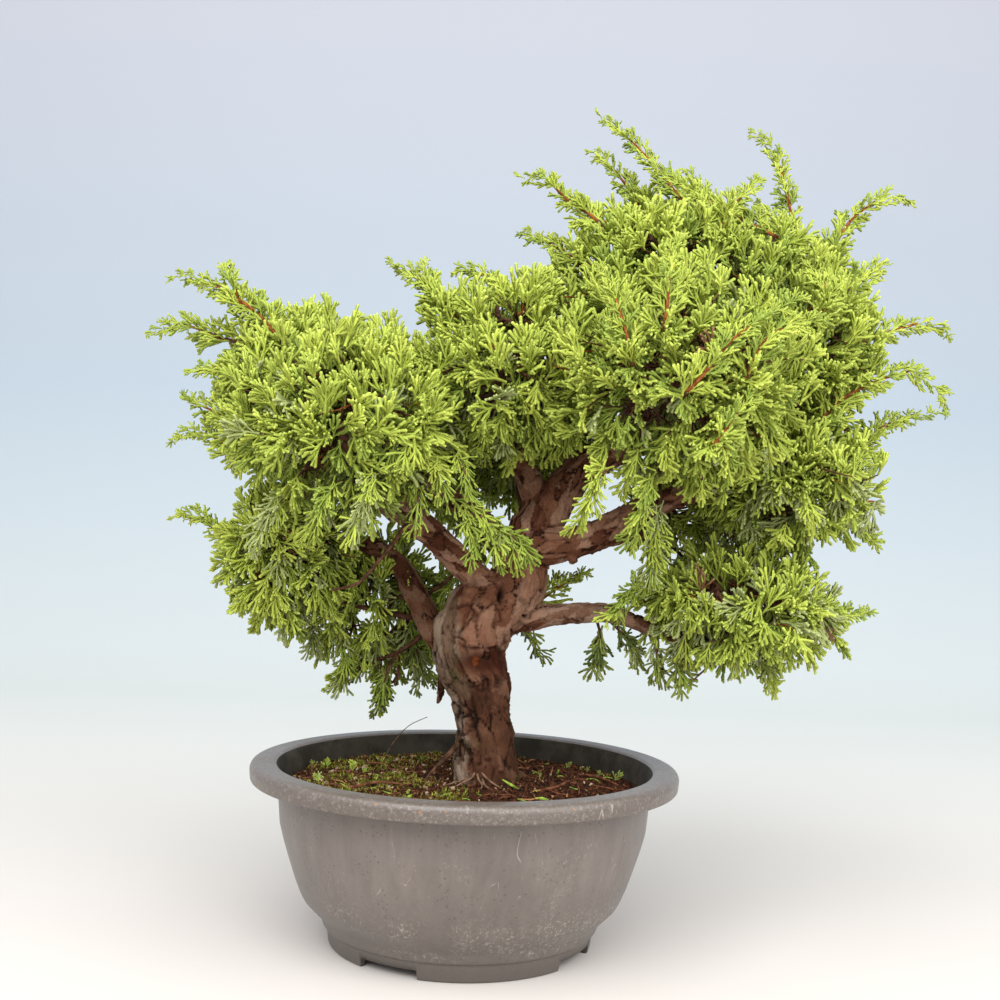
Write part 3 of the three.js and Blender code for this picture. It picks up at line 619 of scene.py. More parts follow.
class Tree:
    """Short ways to add nodes to one material."""

    def __init__(self, tree, shader):
        self.tree = tree
        self.shader = shader
        self.place = self.node("TexCoord").outputs["Object"]

    def node(self, kind, **inputs):
        """A new node with some of its inputs set or linked; _ stands for a space in their names."""
        node = self.tree.nodes.new("ShaderNode" + kind)
        for name, value in inputs.items():
            self.feed(node.inputs[name.replace("_", " ")], value)
        return node

    def feed(self, socket, value):
        """Links a socket to another one, or sets it to a number, a vector or a colour."""
        if isinstance(value, bpy.types.NodeSocket):
            self.tree.links.new(value, socket)
        else:
            socket.default_value = (*value, 1) if socket.type == "RGBA" else value

    def stretched(self, scale):
        return self.node("Mapping", Scale=scale, Vector=self.place).outputs["Vector"]

    def axis(self, name):
        return self.node("SeparateXYZ", Vector=self.place).outputs[name]

    def attribute(self, name):
        node = self.node("Attribute")
        node.attribute_name = name
        return node.outputs["Fac"]

    def noise(self, scale, detail=4, roughness=0.55, distortion=0, place=None):
        return self.node(
            "TexNoise", Scale=scale, Detail=detail, Roughness=roughness, Distortion=distortion,
            Vector=place or self.place,
        ).outputs["Fac"]

    def cells(self, scale):
        return self.node("TexVoronoi", Scale=scale, Vector=self.place).outputs["Distance"]

    def math(self, operation, *values):
        node = self.node("Math")
        node.operation = operation
        for socket, value in zip(node.inputs, values):
            self.feed(socket, value)
        return node.outputs[0]

    def times(self, first, second):
        return self.math("MULTIPLY", first, second)

    def plus(self, first, second):
        return self.math("ADD", first, second)

    def larger(self, first, second):
        return self.math("MAXIMUM", first, second)

    def ramp(self, factor, stops):
        node = self.node("ValToRGB", Fac=factor)
        elements = node.color_ramp.elements
        while len(elements) < len(stops):
            elements.new(0.5)
        for element, (position, colour) in zip(elements, stops):
            element.position = position
            element.color = (*colour, 1)
        return node.outputs["Color"]

    def band(self, factor, low, high):
        """0 below low and 1 above high (or the other way round), smoothly."""
        node = self.node("MapRange", Value=factor, From_Min=low, From_Max=high)
        node.interpolation_type = "SMOOTHSTEP"
        return node.outputs["Result"]

    def spots(self, low, high, *noise):
        """A noise cut to a band."""
        return self.band(self.noise(*noise), low, high)

    def dots(self, scale, middle, edge):
        """Round dots, one to a cell."""
        return self.band(self.cells(scale), edge, middle)

    def layers(self, colour, *layers):
        """Lays colours over the first one, each with its share of the surface and its strength."""
        for share, strength, above in layers:
            node = self.node("Mix")
            node.data_type = "RGBA"
            self.feed(node.inputs["Factor"], share if strength == 1 else self.times(share, strength))
            self.feed(node.inputs[6], colour)
            self.feed(node.inputs[7], above)
            colour = node.outputs[2]
        self.feed(self.shader.inputs["Base Color"], colour)

    def bump(self, height, distance, strength=1.0):
        node = self.node("Bump", Strength=strength, Distance=distance, Height=height)
        self.feed(self.shader.inputs["Normal"], node.outputs["Normal"])


def leaf_material(name, colour, shade):
    """Scale leaves: a plain colour that wavers a little, with the small scales as bumps."""
    material, tree = new_material(name, colour, 0.55, 0.2)
    darker = tuple(channel * shade for channel in colour)
    tree.layers(darker, (tree.spots(0.35, 0.65, 110, 2), 1, colour))
    tree.bump(tree.cells(1300), 0.0003, 0.25)
    return material


def bark_material():
    """Flaking bark, brown on the inside of the trunk's turns and greyer where it weathers, with painted shade
    in the fold under the knobs and in the hollows.
    """
    material, tree = new_material("bark", (0.2, 0.1, 0.06), 0.9, 0.06)
    own = tree.attribute
    patches = tree.noise(70, 5, 0.65)
    grain = tree.node("CombineXYZ", X=own("grain_x"), Y=own("grain_y"), Z=own("grain_z"))
    fibres = tree.noise(560, 5, 0.7, 0.6, grain.outputs["Vector"])
    fine = tree.plus(tree.times(fibres, 0.7), tree.times(tree.noise(1100, 4, 0.7), 0.3))
    tone = tree.plus(own("tone"), tree.math("MULTIPLY_ADD", patches, 1.2, -0.6))
    weather = tree.plus(own("weathered"), tree.math("MULTIPLY_ADD", patches, 0.8, -0.4))
    torn = tree.plus(own("peeled"), tree.times(patches, 1.6))
    mossy = tree.times(own("mossy"), tree.spots(0.4, 0.6, 500, 3, 0.7))
    plate = tree.ramp(tone, [
        (0.0, (0.09, 0.029, 0.015)), (0.3, (0.16, 0.061, 0.033)), (0.6, (0.25, 0.109, 0.061)),
        (1.0, (0.41, 0.23, 0.15)),
    ])
    grey = tree.ramp(tone, [
        (0.0, (0.15, 0.085, 0.05)), (0.45, (0.27, 0.17, 0.11)), (1.0, (0.45, 0.34, 0.25)),
    ])
    stain = tree.ramp(patches, [(0.4, (0.05, 0.028, 0.015)), (0.6, (0.1, 0.042, 0.023))])
    moss = tree.ramp(tree.noise(1300, 3, 0.7), [(0.35, (0.035, 0.04, 0.01)), (0.7, (0.15, 0.16, 0.04))])
    tree.layers(
        plate,
        (tree.band(weather, 0.35, 0.95), 1, grey),
        (tree.band(fine, 0.53, 0.66), 0.8, (0.075, 0.027, 0.014)),
        (tree.band(fine, 0.44, 0.34), 0.5, (0.42, 0.28, 0.2)),
        (tree.band(own("relief"), 0.34, 0.12), 1, (0.075, 0.026, 0.013)),
        (own("low"), 0.6, stain),
        # painted shadow in the fold under the knobs
        (own("shaded_fold"), 0.9, (0.06, 0.017, 0.009)),
        (tree.band(torn, 1.05, 1.5), 0.85, (0.26, 0.06, 0.012)),
        (own("seams"), 0.8, (0.06, 0.021, 0.011)),
        (own("cracks"), 1, (0.02, 0.01, 0.007)),
        # painted shade inside the hollows
        (own("shaded_hollow"), 1, (0.01, 0.006, 0.004)),
        (mossy, 1, moss),
    )
    tree.bump(tree.plus(fine, tree.times(tree.noise(2600, 3, 0.7), 0.5)), 0.0022)
    return material


def pot_material():
    """Worn plastic: a duller lip, dust and grit on it and on the bulge, pits, scratches, specks
    and rust, with painted light on the rim's top and painted shade towards the bottom. Heights are in metres."""
    material, tree = new_material("pot_plastic", (0.2, 0.19, 0.18), 0.5, 0.6)
    height = tree.axis("Z")
    lip = tree.band(height, 0.088, 0.0905)
    # The rim's upward face, painted paler as light falling on it from above.
    top = tree.band(height, 0.0962, 0.0985)
    bulge = tree.times(tree.band(height, 0.046, 0.026), tree.band(height, 0.008, 0.016))
    streaks = tree.noise(1, 5, 0.6, 0.3, tree.stretched((150, 150, 12)))
    cloud = tree.noise(16, 4, 0.6)
    plastic = tree.ramp(tree.plus(tree.times(streaks, 0.5), tree.times(cloud, 0.5)), [
        (0.36, (0.118, 0.097, 0.086)), (0.52, (0.148, 0.122, 0.108)), (0.68, (0.182, 0.151, 0.135)),
    ])
    dusty = tree.larger(tree.times(tree.spots(0.5, 0.64, 26, 3, 0.6), 0.35), tree.times(lip, 0.45))
    dusty = tree.larger(dusty, tree.times(bulge, tree.spots(0.35, 0.55, 30, 2)))
    dust = tree.times(tree.spots(0.53, 0.61, 460, 6, 0.85), dusty)
    pits = tree.times(tree.dots(330, 0.14, 0.26), tree.spots(0.42, 0.52, 70, 3))
    grit = tree.times(tree.spots(0.46, 0.4, 620, 4, 0.8), tree.larger(lip, 0.25))
    line = tree.math("SUBTRACT", tree.noise(1, 2, 0.5, 0.2, tree.stretched((60, 60, 9))), 0.5)
    line = tree.band(tree.math("ABSOLUTE", line), 0.005, 0.001)
    rust = tree.times(tree.dots(130, 0.06, 0.16), tree.spots(0.5, 0.6, 30, 2))
    tree.layers(
        plastic,
        (lip, 0.85, (0.11, 0.088, 0.074)),
        # Darker towards the bottom: painted shade.
        (tree.band(height, 0.06, 0.018), 0.45, (0.1, 0.086, 0.072)),
        # painted light on the rim's top
        (top, 0.35, (0.17, 0.142, 0.12)),
        (dust, 0.75, (0.42, 0.38, 0.34)),
        (tree.larger(tree.times(pits, 0.6), tree.times(grit, 0.5)), 1, (0.07, 0.05, 0.04)),
        (tree.times(line, tree.spots(0.54, 0.64, 60, 3, 0.7)), 0.5, (0.45, 0.42, 0.39)),
        (tree.times(tree.dots(420, 0.07, 0.13), tree.spots(0.5, 0.62, 40, 3)), 0.4, (0.5, 0.46, 0.4)),
        (tree.times(rust, lip), 0.7, (0.36, 0.16, 0.055)),
        # Darkest at the foot: painted shade.
        (tree.band(height, 0.016, 0.003), 0.7, (0.078, 0.066, 0.054)),
    )
    gloss = tree.ramp(cloud, [(0.3, (0.3, 0.3, 0.3)), (0.7, (0.44, 0.44, 0.44))])
    tree.feed(tree.shader.inputs["Roughness"], gloss)
    tree.bump(tree.plus(tree.noise(700, 4, 0.6), tree.times(streaks, 0.8)), 0.0003, 0.5)
    return material


# The inside wall: the same plastic, painted far darker as the shade inside the pot.
def pot_inside_material():
    material, tree = new_material("pot_inside_painted_shade", (0.04, 0.037, 0.035), 0.7, 0.12)
    tree.layers((0.026, 0.022, 0.016), (tree.spots(0.35, 0.65, 60, 4), 1, (0.055, 0.047, 0.036)))
    tree.bump(tree.noise(600, 4, 0.6), 0.0003, 0.5)
    return material


def earth_material():
    """Dark earth, green-brown where the piece's own moss share is high."""
    material, tree = new_material("earth", (0.07, 0.03, 0.02), 0.95, 0.05)
    earth = tree.ramp(tree.noise(220, 6, 0.75), [
        (0.3, (0.018, 0.008, 0.005)), (0.5, (0.06, 0.026, 0.014)), (0.72, (0.12, 0.056, 0.03)),
    ])
    moss = tree.ramp(tree.noise(700, 4, 0.7), [(0.35, (0.035, 0.032, 0.006)), (0.65, (0.15, 0.13, 0.03))])
    tree.layers(earth, (tree.times(tree.attribute("moss"), tree.spots(0.35, 0.6, 160, 4, 0.7)), 1, moss))
    tree.bump(tree.noise(900, 6, 0.8), 0.002)
    return material


def small_material(kind, name, dark, light):
    """Grains or twigs, in patches of two colours and rough all over."""
    roughness, specular, patches, bumps, depth, strength = SMALL_MATERIALS[kind]
    material, tree = new_material(name, light, roughness, specular)
    tree.layers(dark, (tree.spots(0.35, 0.65, patches, 3, 0.6), 1, light))
    tree.bump(tree.noise(bumps, 3, 0.7), depth, strength)
    return material


# The pot: a turned wall with a flanged lip, on a foot ring cut by four gaps
def rounded(profile, radius, steps=3):
    """Rounds each inner corner of a profile by a short curve."""
    profile = np.array(profile, float)
    points = [profile[0]]
    for before, corner, after in zip(profile, profile[1:], profile[2:]):
        reach = min(radius, *(0.45 * np.linalg.norm(end - corner) for end in (before, after)))
        start, end = (corner + unit(end - corner) * reach for end in (before, after))
        for share in np.linspace(0, 1, steps + 1):
            points.append((1 - share) ** 2 * start + 2 * share * (1 - share) * corner + share**2 * end)
    points.append(profile[-1])
    return np.array(points)


def pot_mesh():
    """The pot's vertices and triangles, and which of these are its inside."""
    foot = [[0, 8], [FOOT_INNER, 8], [FOOT_INNER, 0], [FOOT_OUTER, 0], [74.5, 9.5]]
    wall = [[76.5, 10.5], [78.8, 16], [85.2, 22.4], [88.3, 25.6], [90.3, 29.4], [93.4, 37], [97.1, 48]]
    wall += [[100, 57], [102.4, 66], [104.2, 85]]
    lip = [[104.5, 96], [117, 96], [117, 89.7], [119.4, 89.7], [RIM_RADIUS, 96], [118.8, 98.3]]
    lip += [[116.5, POT_HEIGHT]]
    inside = [[107, POT_HEIGHT], [105, 97.8], [103.3, 94], [101, 85], [99.3, 66], [94.2, 49], [87.1, 28.9]]
    floor = [[76.2, 18], [72, 12], [0, 12]]
    radius, height = rounded([*foot, *wall, *lip, *inside, *floor], POT_CORNER).T
    middles = np.radians([FIRST_GAP_ANGLE + gap * 360 / FOOT_COUNT for gap in range(FOOT_COUNT)])
    half = math.asin(FOOT_GAP_WIDTH / 2 / FOOT_OUTER)
    offsets = [way * (half + slack) for way in (-1, 1) for slack in (-GAP_SLACK, GAP_SLACK)]
    edges = np.mod(np.add.outer(middles, offsets).ravel(), 2 * math.pi)
    turns = np.unique(np.concatenate([around(POT_TURNS), edges]).round(5))[:, None]
    off = np.abs((turns - middles + math.pi) % (2 * math.pi) - math.pi).min(axis=1, keepdims=True)
    in_gap = (off < half) & (height < FOOT_GAP_HEIGHT)
    grid = columns(radius * np.sin(turns), -radius * np.cos(turns), np.where(in_gap, FOOT_GAP_HEIGHT, height))
    rings, count = grid.shape[:2]
    at = np.arange(rings * count).reshape(rings, count)
    after = np.roll(at, -1, axis=0)
    triangles = cell_faces(at[:, :-1], at[:, 1:], after[:, :-1], after[:, 1:])
    is_inner = (np.arange(count - 1) > np.argmax(height)) & (radius[:-1] < INNER_WALL_RADIUS)
    return grid.reshape(-1, 3), triangles, np.tile(is_inner, 2 * rings)


def weld(piece, distance=1e-6):
    """Merges the doubled points of a mesh in place."""
    work = bmesh.new()
    work.from_mesh(piece.data)
    bmesh.ops.remove_doubles(work, verts=work.verts, dist=distance)
    bmesh.ops.dissolve_degenerate(work, edges=work.edges, dist=distance)
    work.to_mesh(piece.data)
    work.free()


def applied(piece):
    """Replaces a piece's mesh by what its modifiers make of it."""
    graph = bpy.context.evaluated_depsgraph_get()
    mesh = bpy.data.meshes.new_from_object(piece.evaluated_get(graph))
    piece.modifiers.clear()
    old = piece.data
    piece.data = mesh
    bpy.data.meshes.remove(old)


def drain(index):
    """A rod through the floor, in the middle or on a circle round it."""
    angle = math.radians(index * 360 / DRAIN_COUNT)
    circle = 0 if index == DRAIN_COUNT else DRAIN_CIRCLE
    x, y = circle * math.cos(angle), circle * math.sin(angle)
    return tube([[x, y, height] for height in DRAIN_ENDS], [DRAIN_RADIUS] * 2, 20, 1)


def make_pot():
    vertices, triangles, inner = pot_mesh()
    materials = [pot_material(), pot_inside_material()]
    piece = add_piece("pot_shell", vertices, triangles, materials, "pot_plastic", inner)
    weld(piece)
    drains = add_piece("drain_cutter", *merged([drain(i) for i in range(DRAIN_COUNT + 1)]), [], None)
    cut = piece.modifiers.new("drains", "BOOLEAN")
    cut.operation = "DIFFERENCE"
    cut.solver = "EXACT"
    cut.object = drains
    applied(piece)
    bpy.data.objects.remove(drains)
    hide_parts("pot")


# The soil: a rough bed with grains, moss, clippings and dead twigs on it
def soil_height(x, y):
    radius = np.hypot(x, y)
    level = SOIL_LEVEL - SOIL_FALL * smooth_step(SOIL_SEAT, SOIL_EDGE, radius)
    flat = columns(x, y, 0)
    rough = 1.3 * layered_noise(flat / 14, 5) + 0.6 * layered_noise(flat / 3.2, 9, 2)
    mound = 2.2 * np.exp(-((np.hypot(x - TRUNK_FOOT, y) / 26) ** 2))
    cushions = 2.4 * moss_share(x, y) * smooth_step(-0.2, 0.5, layered_noise(flat / 7, 61, 2))
    return level + (rough + cushions) * smooth_step(SOIL_EDGE, SOIL_EDGE - 6, radius) + mound - 0.8


def moss_share(x, y):
    """How much moss grows at a place: most on the left half, in patches."""
    patches = layered_noise(columns(x / 22, y / 16, 0), 33)
    return smooth_step(-0.1, 0.35, patches + 0.55 * smooth_step(35, -55, x) - 0.32)


def soil_bed():
    rings, turns = 84, 200
    radius = np.linspace(0, 1, rings)[:, None] ** 0.8 * SOIL_EDGE
    x, y = radius * np.cos(around(turns)), radius * np.sin(around(turns))
    top = columns(x, y, soil_height(x.ravel(), y.ravel()).reshape(x.shape))
    steps = ((0.928, 49), (0.855, 29), (0.75, 18.2), (0.71, 12.4), (0, 12.4))
    skirt = [columns(x[-1] * share, y[-1] * share, height) for share, height in steps]
    grid = np.concatenate([top, skirt])
    at = np.arange(len(grid) * turns).reshape(len(grid), turns)
    after = np.roll(at, -1, axis=1)
    return grid.reshape(-1, 3), cell_faces(at[:-1], after[:-1], at[1:], after[1:])


def random_turns(random, count):
    """Random rotation matrices."""
    first = unit(random.normal(size=(count, 3)))
    second = unit(np.cross(first, random.normal(size=(count, 3))))
    return np.stack([first, second, np.cross(first, second)], axis=2)


def octahedron():
    vertices = np.array([[1, 0, 0], [-1, 0, 0], [0, 1, 0], [0, -1, 0], [0, 0, 1], [0, 0, -1]], float)
    ways = itertools.product((0, 1), (2, 3), (4, 5))
    return vertices, np.array([(a, b, c) if (a + b + c) % 2 == 0 else (a, c, b) for a, b, c in ways])


def scattered(random, count, inner=0):
    """Places on the soil, evenly spread over its top."""
    radius = np.sqrt(random.uniform(inner**2 / SOIL_EDGE**2, 0.97, count)) * SOIL_EDGE
    angle = random.uniform(0, 2 * math.pi, count)
    x, y = radius * np.cos(angle), radius * np.sin(angle)
    return columns(x, y, soil_height(x, y))


def spikes(random, places, length, width, spread):
    """Small three-sided spikes that stand up from their places."""
    count = len(places)
    base = columns(np.cos(around(3)), np.sin(around(3)), 0)
    vertices = np.vstack([base, [[0, 0, 1]]])
    triangles = np.array([[0, 1, 3], [1, 2, 3], [2, 0, 3], [0, 2, 1]])
    z = unit(np.array([0, 0, 1]) + random.normal(0, spread, (count, 3)))
    x = unit(np.cross(z, random.normal(size=(count, 3))))
    size = random.uniform(0.5, 1.2, count)[:, None]
    matrices = np.stack([x * width * size, np.cross(z, x) * width * size, z * length * size], axis=2)
    return copies(vertices, triangles, matrices, places - [0, 0, 0.4])


def make_moss():
    random = np.random.default_rng(19)
    places = scattered(random, MOSS_TRIES, 16)
    kept = random.uniform(0, 1, len(places)) < 0.55 * moss_share(places[:, 0], places[:, 1])
    places = places[kept]
    pale = random.uniform(0, 1, len(places)) < 0.4
    for name, chosen, dark, light in (
        ("moss_green", places[~pale], (0.055, 0.06, 0.008), (0.155, 0.165, 0.024)),
        ("moss_pale", places[pale], (0.16, 0.15, 0.022), (0.37, 0.34, 0.065)),
    ):
        parts = spikes(random, chosen, length=2.6, width=0.6, spread=0.5)
        add_piece(name, *parts, [small_material("grain", name, dark, light)], "soil", smooth=False)


def make_litter():
    """Dead twigs, straws and green clippings that lie on the soil."""
    random = np.random.default_rng(23)
    placed_bits = {
        "litter_twigs": [
            tube(on_soil(line, [0.9, 2, 2.6, 0.8]), [0.95, 0.85, 0.5], 6, 16) for line in LYING_TWIGS
        ],
        "litter_straw": [],
        "litter_green": [tube(line, [0.4, 1.1, 0.3], 4, 8) for line in GREEN_BITS],
    }
    for name, count, shortest, longest, radius, dark, light in (
        ("litter_twigs", 100, 6, 26, 0.6, (0.07, 0.024, 0.012), (0.2, 0.075, 0.036)),
        ("litter_straw", 36, 4, 12, 0.42, (0.24, 0.1, 0.035), (0.46, 0.22, 0.09)),
        ("litter_green", 30, 4, 10, 0.5, (0.1, 0.17, 0.02), (0.3, 0.42, 0.06)),
    ):
        parts = []
        for place in scattered(random, count, 20):
            way = random.uniform(0, 2 * math.pi)
            half = random.uniform(shortest, longest) / 2 * np.array([math.cos(way), math.sin(way)])
            across = np.array([-half[1], half[0]]) * random.normal(0, 0.25)
            line = [place[:2] - half, place[:2] + across, place[:2] + half]
            if np.linalg.norm(line, axis=1).max() > SOIL_EDGE - 3:
                continue
            line = on_soil(line, [0.5, 1.6, random.uniform(0.4, 3.5)])
            parts.append(tube(line, [radius, radius * 0.9, radius * 0.5], 4, 5))
        material = small_material("twig", name, dark, light)
        add_piece(name, *merged(parts + placed_bits[name]), [material], "soil")


def on_soil(line, rise):
    """A flat line lifted to heights above the soil."""
    x, y = np.array(line, float).T
    return columns(x, y, soil_height(x, y) + rise)


def make_soil():
    bed = add_piece("soil_bed", *soil_bed(), [earth_material()], "soil")
    weld(bed)
    x, y, _ = ((point_vectors(bed.data, "co") - POT_AXIS) / MM).T
    add_values(bed.data, "moss", moss_share(x, y))
    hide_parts("soil")
    random = np.random.default_rng(11)
    shape = octahedron()
    # name, count, size, two colours, and how much more they lie on the left
    for name, count, size, dark, light, leftward in (
        ("grains_brown", 4400, 1.6, (0.028, 0.01, 0.005), (0.095, 0.036, 0.017), 0),
        ("grains_dark", 1900, 1.4, (0.012, 0.006, 0.004), (0.04, 0.02, 0.013), 0),
        ("grains_tan", 1000, 1.3, (0.15, 0.085, 0.045), (0.36, 0.23, 0.135), 0.7),
        ("grains_pale", 210, 1.9, (0.26, 0.18, 0.11), (0.52, 0.4, 0.27), 0.75),
    ):
        places = scattered(random, count)
        share = 1 - leftward * smooth_step(-35, 25, places[:, 0])
        places = places[random.uniform(0, 1, count) < share]
        count = len(places)
        turns = random_turns(random, count)
        sizes = size * random.uniform(0.45, 1.15, (count, 1)) * random.uniform(0.7, 1.1, (count, 3))
        places[:, 2] += 0.25 * size
        material = small_material("grain", name, dark, light)
        add_piece(name, *copies(*shape, turns * sizes[:, None], places), [material], "soil", smooth=False)


# The wood: trunk and boughs in one skin with the relief of flaking bark
def beside(direction, way, spread):
    """1 in one direction, dying away to both sides; all in degrees."""
    return np.exp(-((np.abs((direction - way + 540) % 360 - 180) / spread) ** 2))


def trunk_swell(outward, height):
    """How much further out than its radius the trunk's skin lies: its roots and its knot."""
    direction = np.degrees(np.arctan2(outward[..., 1], outward[..., 0]))
    scale = 1 + 0.04 * np.sin(np.radians(3 * direction) + height / 14)
    above = np.maximum(height - SOIL_LEVEL, 0)
    for way, reach, spread, rise in ROOTS:
        scale = scale + reach * beside(direction, way, spread) * np.exp(-above / rise)
    level = np.exp(-(((height - KNOT["height"]) / KNOT["rise"]) ** 2))
    return scale + KNOT["reach"] * beside(direction, KNOT["direction"], KNOT["spread"]) * level


def nearest_samples(points, curve):
    """For each point, which point of the curve is nearest."""
    blocks = np.array_split(points, max(1, len(points) // 3000))
    return np.concatenate([
        np.argmin(((block[:, None] - curve[None]) ** 2).sum(axis=2), axis=1) for block in blocks
    ])


def limb_places(points):
    """Each skin point's place on the limb that it lies on: twice across and once along, in
    millimetres, with the limb's radius and number."""
    best = np.full(len(points), 1e9)
    places = np.zeros((len(points), 3))
    size = np.zeros(len(points))
    number = np.zeros(len(points), int)
    for index, (line, radii) in enumerate([TRUNK, *BOUGHS.values(), *STUBS]):
        curve = smooth_curve(line, LIMB_SAMPLES)
        nearest = nearest_samples(points, curve)
        out = points - curve[nearest]
        radius = spread_out(radii, len(curve))[nearest]
        gap = np.linalg.norm(out, axis=1) - radius
        along = distances(curve)[nearest]
        sides = [np.einsum("ij,ij->i", out, way[nearest]) for way in side_frames(curve)]
        x, y = (unit(columns(*sides)) * radius[:, None]).T
        sine, cosine = np.sin(along * BARK_TWIST), np.cos(along * BARK_TWIST)
        closer = gap < best
        best[closer] = gap[closer]
        places[closer] = columns(x * cosine - y * sine, x * sine + y * cosine, along)[closer]
        size[closer] = radius[closer]
        number[closer] = index
    return places, size, number


def cell_noise(points, seed):
    """How much further the second nearest of some scattered points is than the nearest, and the
    nearest one's own value."""
    base = np.floor(points).astype(np.int64)
    first = np.full(len(points), 9.0)
    second = np.full(len(points), 9.0)
    own = np.zeros(len(points))
    for corner in itertools.product((-1, 0, 1), repeat=3):
        at = base + corner
        mixed = scrambled(at, seed)
        shift = columns(*((mixed >> bits & 0x3FF) / 1023 for bits in (0, 10, 20)))
        distance = np.linalg.norm(at + shift - points, axis=1)
        closer = distance < first
        second = np.where(closer, first, np.minimum(second, distance))
        own = np.where(closer, (mixed >> 5 & 0xFF) / 255, own)
        first = np.where(closer, distance, first)
    return second - first, own


def bark_relief(points):
    """The bark's relief from 0 to 1, the tone of each plate, the cracks, each limb's radius, and the
    places along and across the limbs."""
    places, radius, number = limb_places(points)
    scale = np.where(radius > 11, 1.0, 0.62)[:, None]
    places = places / scale + number[:, None] * [0, 0, LIMB_OFFSET]
    wander = columns(*(layered_noise(places / 9, 40 + 7 * axis) for axis in range(3)))
    edge, tone = cell_noise((places + 2.6 * wander) / PLATE_SIZE, 3)
    small_edge, small_tone = cell_noise((places + 1.3 * wander) / FLAKE_SIZE, 8)
    fibres = 1 - np.abs(layered_noise((places + 0.8 * wander) / FIBRE_SIZE, 90, 2))
    cracks = smooth_step(0.13, 0.02, edge) * smooth_step(-0.5, 0.1, layered_noise(places / 16, 70, 2))
    some = smooth_step(0.0, 0.35, layered_noise(places / 10, 77, 2))
    small_cracks = smooth_step(0.12, 0.02, small_edge) * some
    lifted = smooth_step(0.45, 0.12, edge) * (tone > 0.5)
    relief = 0.3 + 0.34 * tone + 0.2 * lifted + 0.2 * small_tone + 0.16 * (fibres - 0.6)
    relief = relief - 0.5 * cracks - 0.28 * small_cracks
    return np.clip(relief, 0, 1), tone, np.maximum(cracks, 0.6 * small_cracks), radius, places


def near(points, place, reach):
    """1 at a place, dying away round it."""
    return np.exp(-(np.linalg.norm((points - np.array(place)) / np.array(reach), axis=1) ** 2))


def ball(middle, radii):
    """A closed ball with its poles along Z, stretched by its three radii."""
    sides, rings = 24, 12
    lift = np.linspace(-math.pi / 2, math.pi / 2, rings + 1)[1:-1, None]
    grid = columns(np.cos(lift) * np.cos(around(sides)), np.cos(lift) * np.sin(around(sides)), np.sin(lift))
    vertices = np.vstack([grid.reshape(-1, 3), [[0, 0, -1], [0, 0, 1]]]) * radii + middle
    return vertices, tube_faces(sides, rings - 2)


def seam_share(points, normals):
    """How deep the seams of the trunk's front cut at each point, from 0 to 1."""
    wander = columns(layered_noise(points / 5, 51, 2), layered_noise(points / 5, 57, 2))
    flat = points[:, [0, 2]] + 0.9 * wander
    share = np.zeros(len(points))
    for line, width in SEAMS:
        for start, end in itertools.pairwise(np.array(line, float)):
            along = end - start
            t = np.clip((flat - start) @ along / (along @ along), 0, 1)
            off = np.linalg.norm(flat - start - t[:, None] * along, axis=1)
            share = np.maximum(share, smooth_step(0.75 * width, 0.2 * width, off))
    share = share * smooth_step(-0.45, 0.25, layered_noise(points / 4, 64, 2))
    return share * smooth_step(-0.05, -0.35, normals[:, 1])


def bark_skin():
    """The trunk, the boughs and the knobs as one closed skin."""
    parts = [tube(*TRUNK, 60, 120, trunk_swell)]
    for points, (foot, *radii) in [*BOUGHS.values(), *STUBS]:
        parts.append(tube(points, [foot * BOUGH_SWELL, *radii], 24, 60))
    parts.append(tube(*SURFACE_ROOT, 16, 30))
    parts += [ball(middle, radii) for middle, radii in BURLS]
    piece = add_piece("bark_skin", *merged(parts), [bark_material()], "bark")
    remesh = piece.modifiers.new("skin", "REMESH")
    remesh.mode = "VOXEL"
    remesh.voxel_size = BARK_VOXEL
    smooth = piece.modifiers.new("smooth", "SMOOTH")
    smooth.iterations = 3
    applied(piece)
    return piece


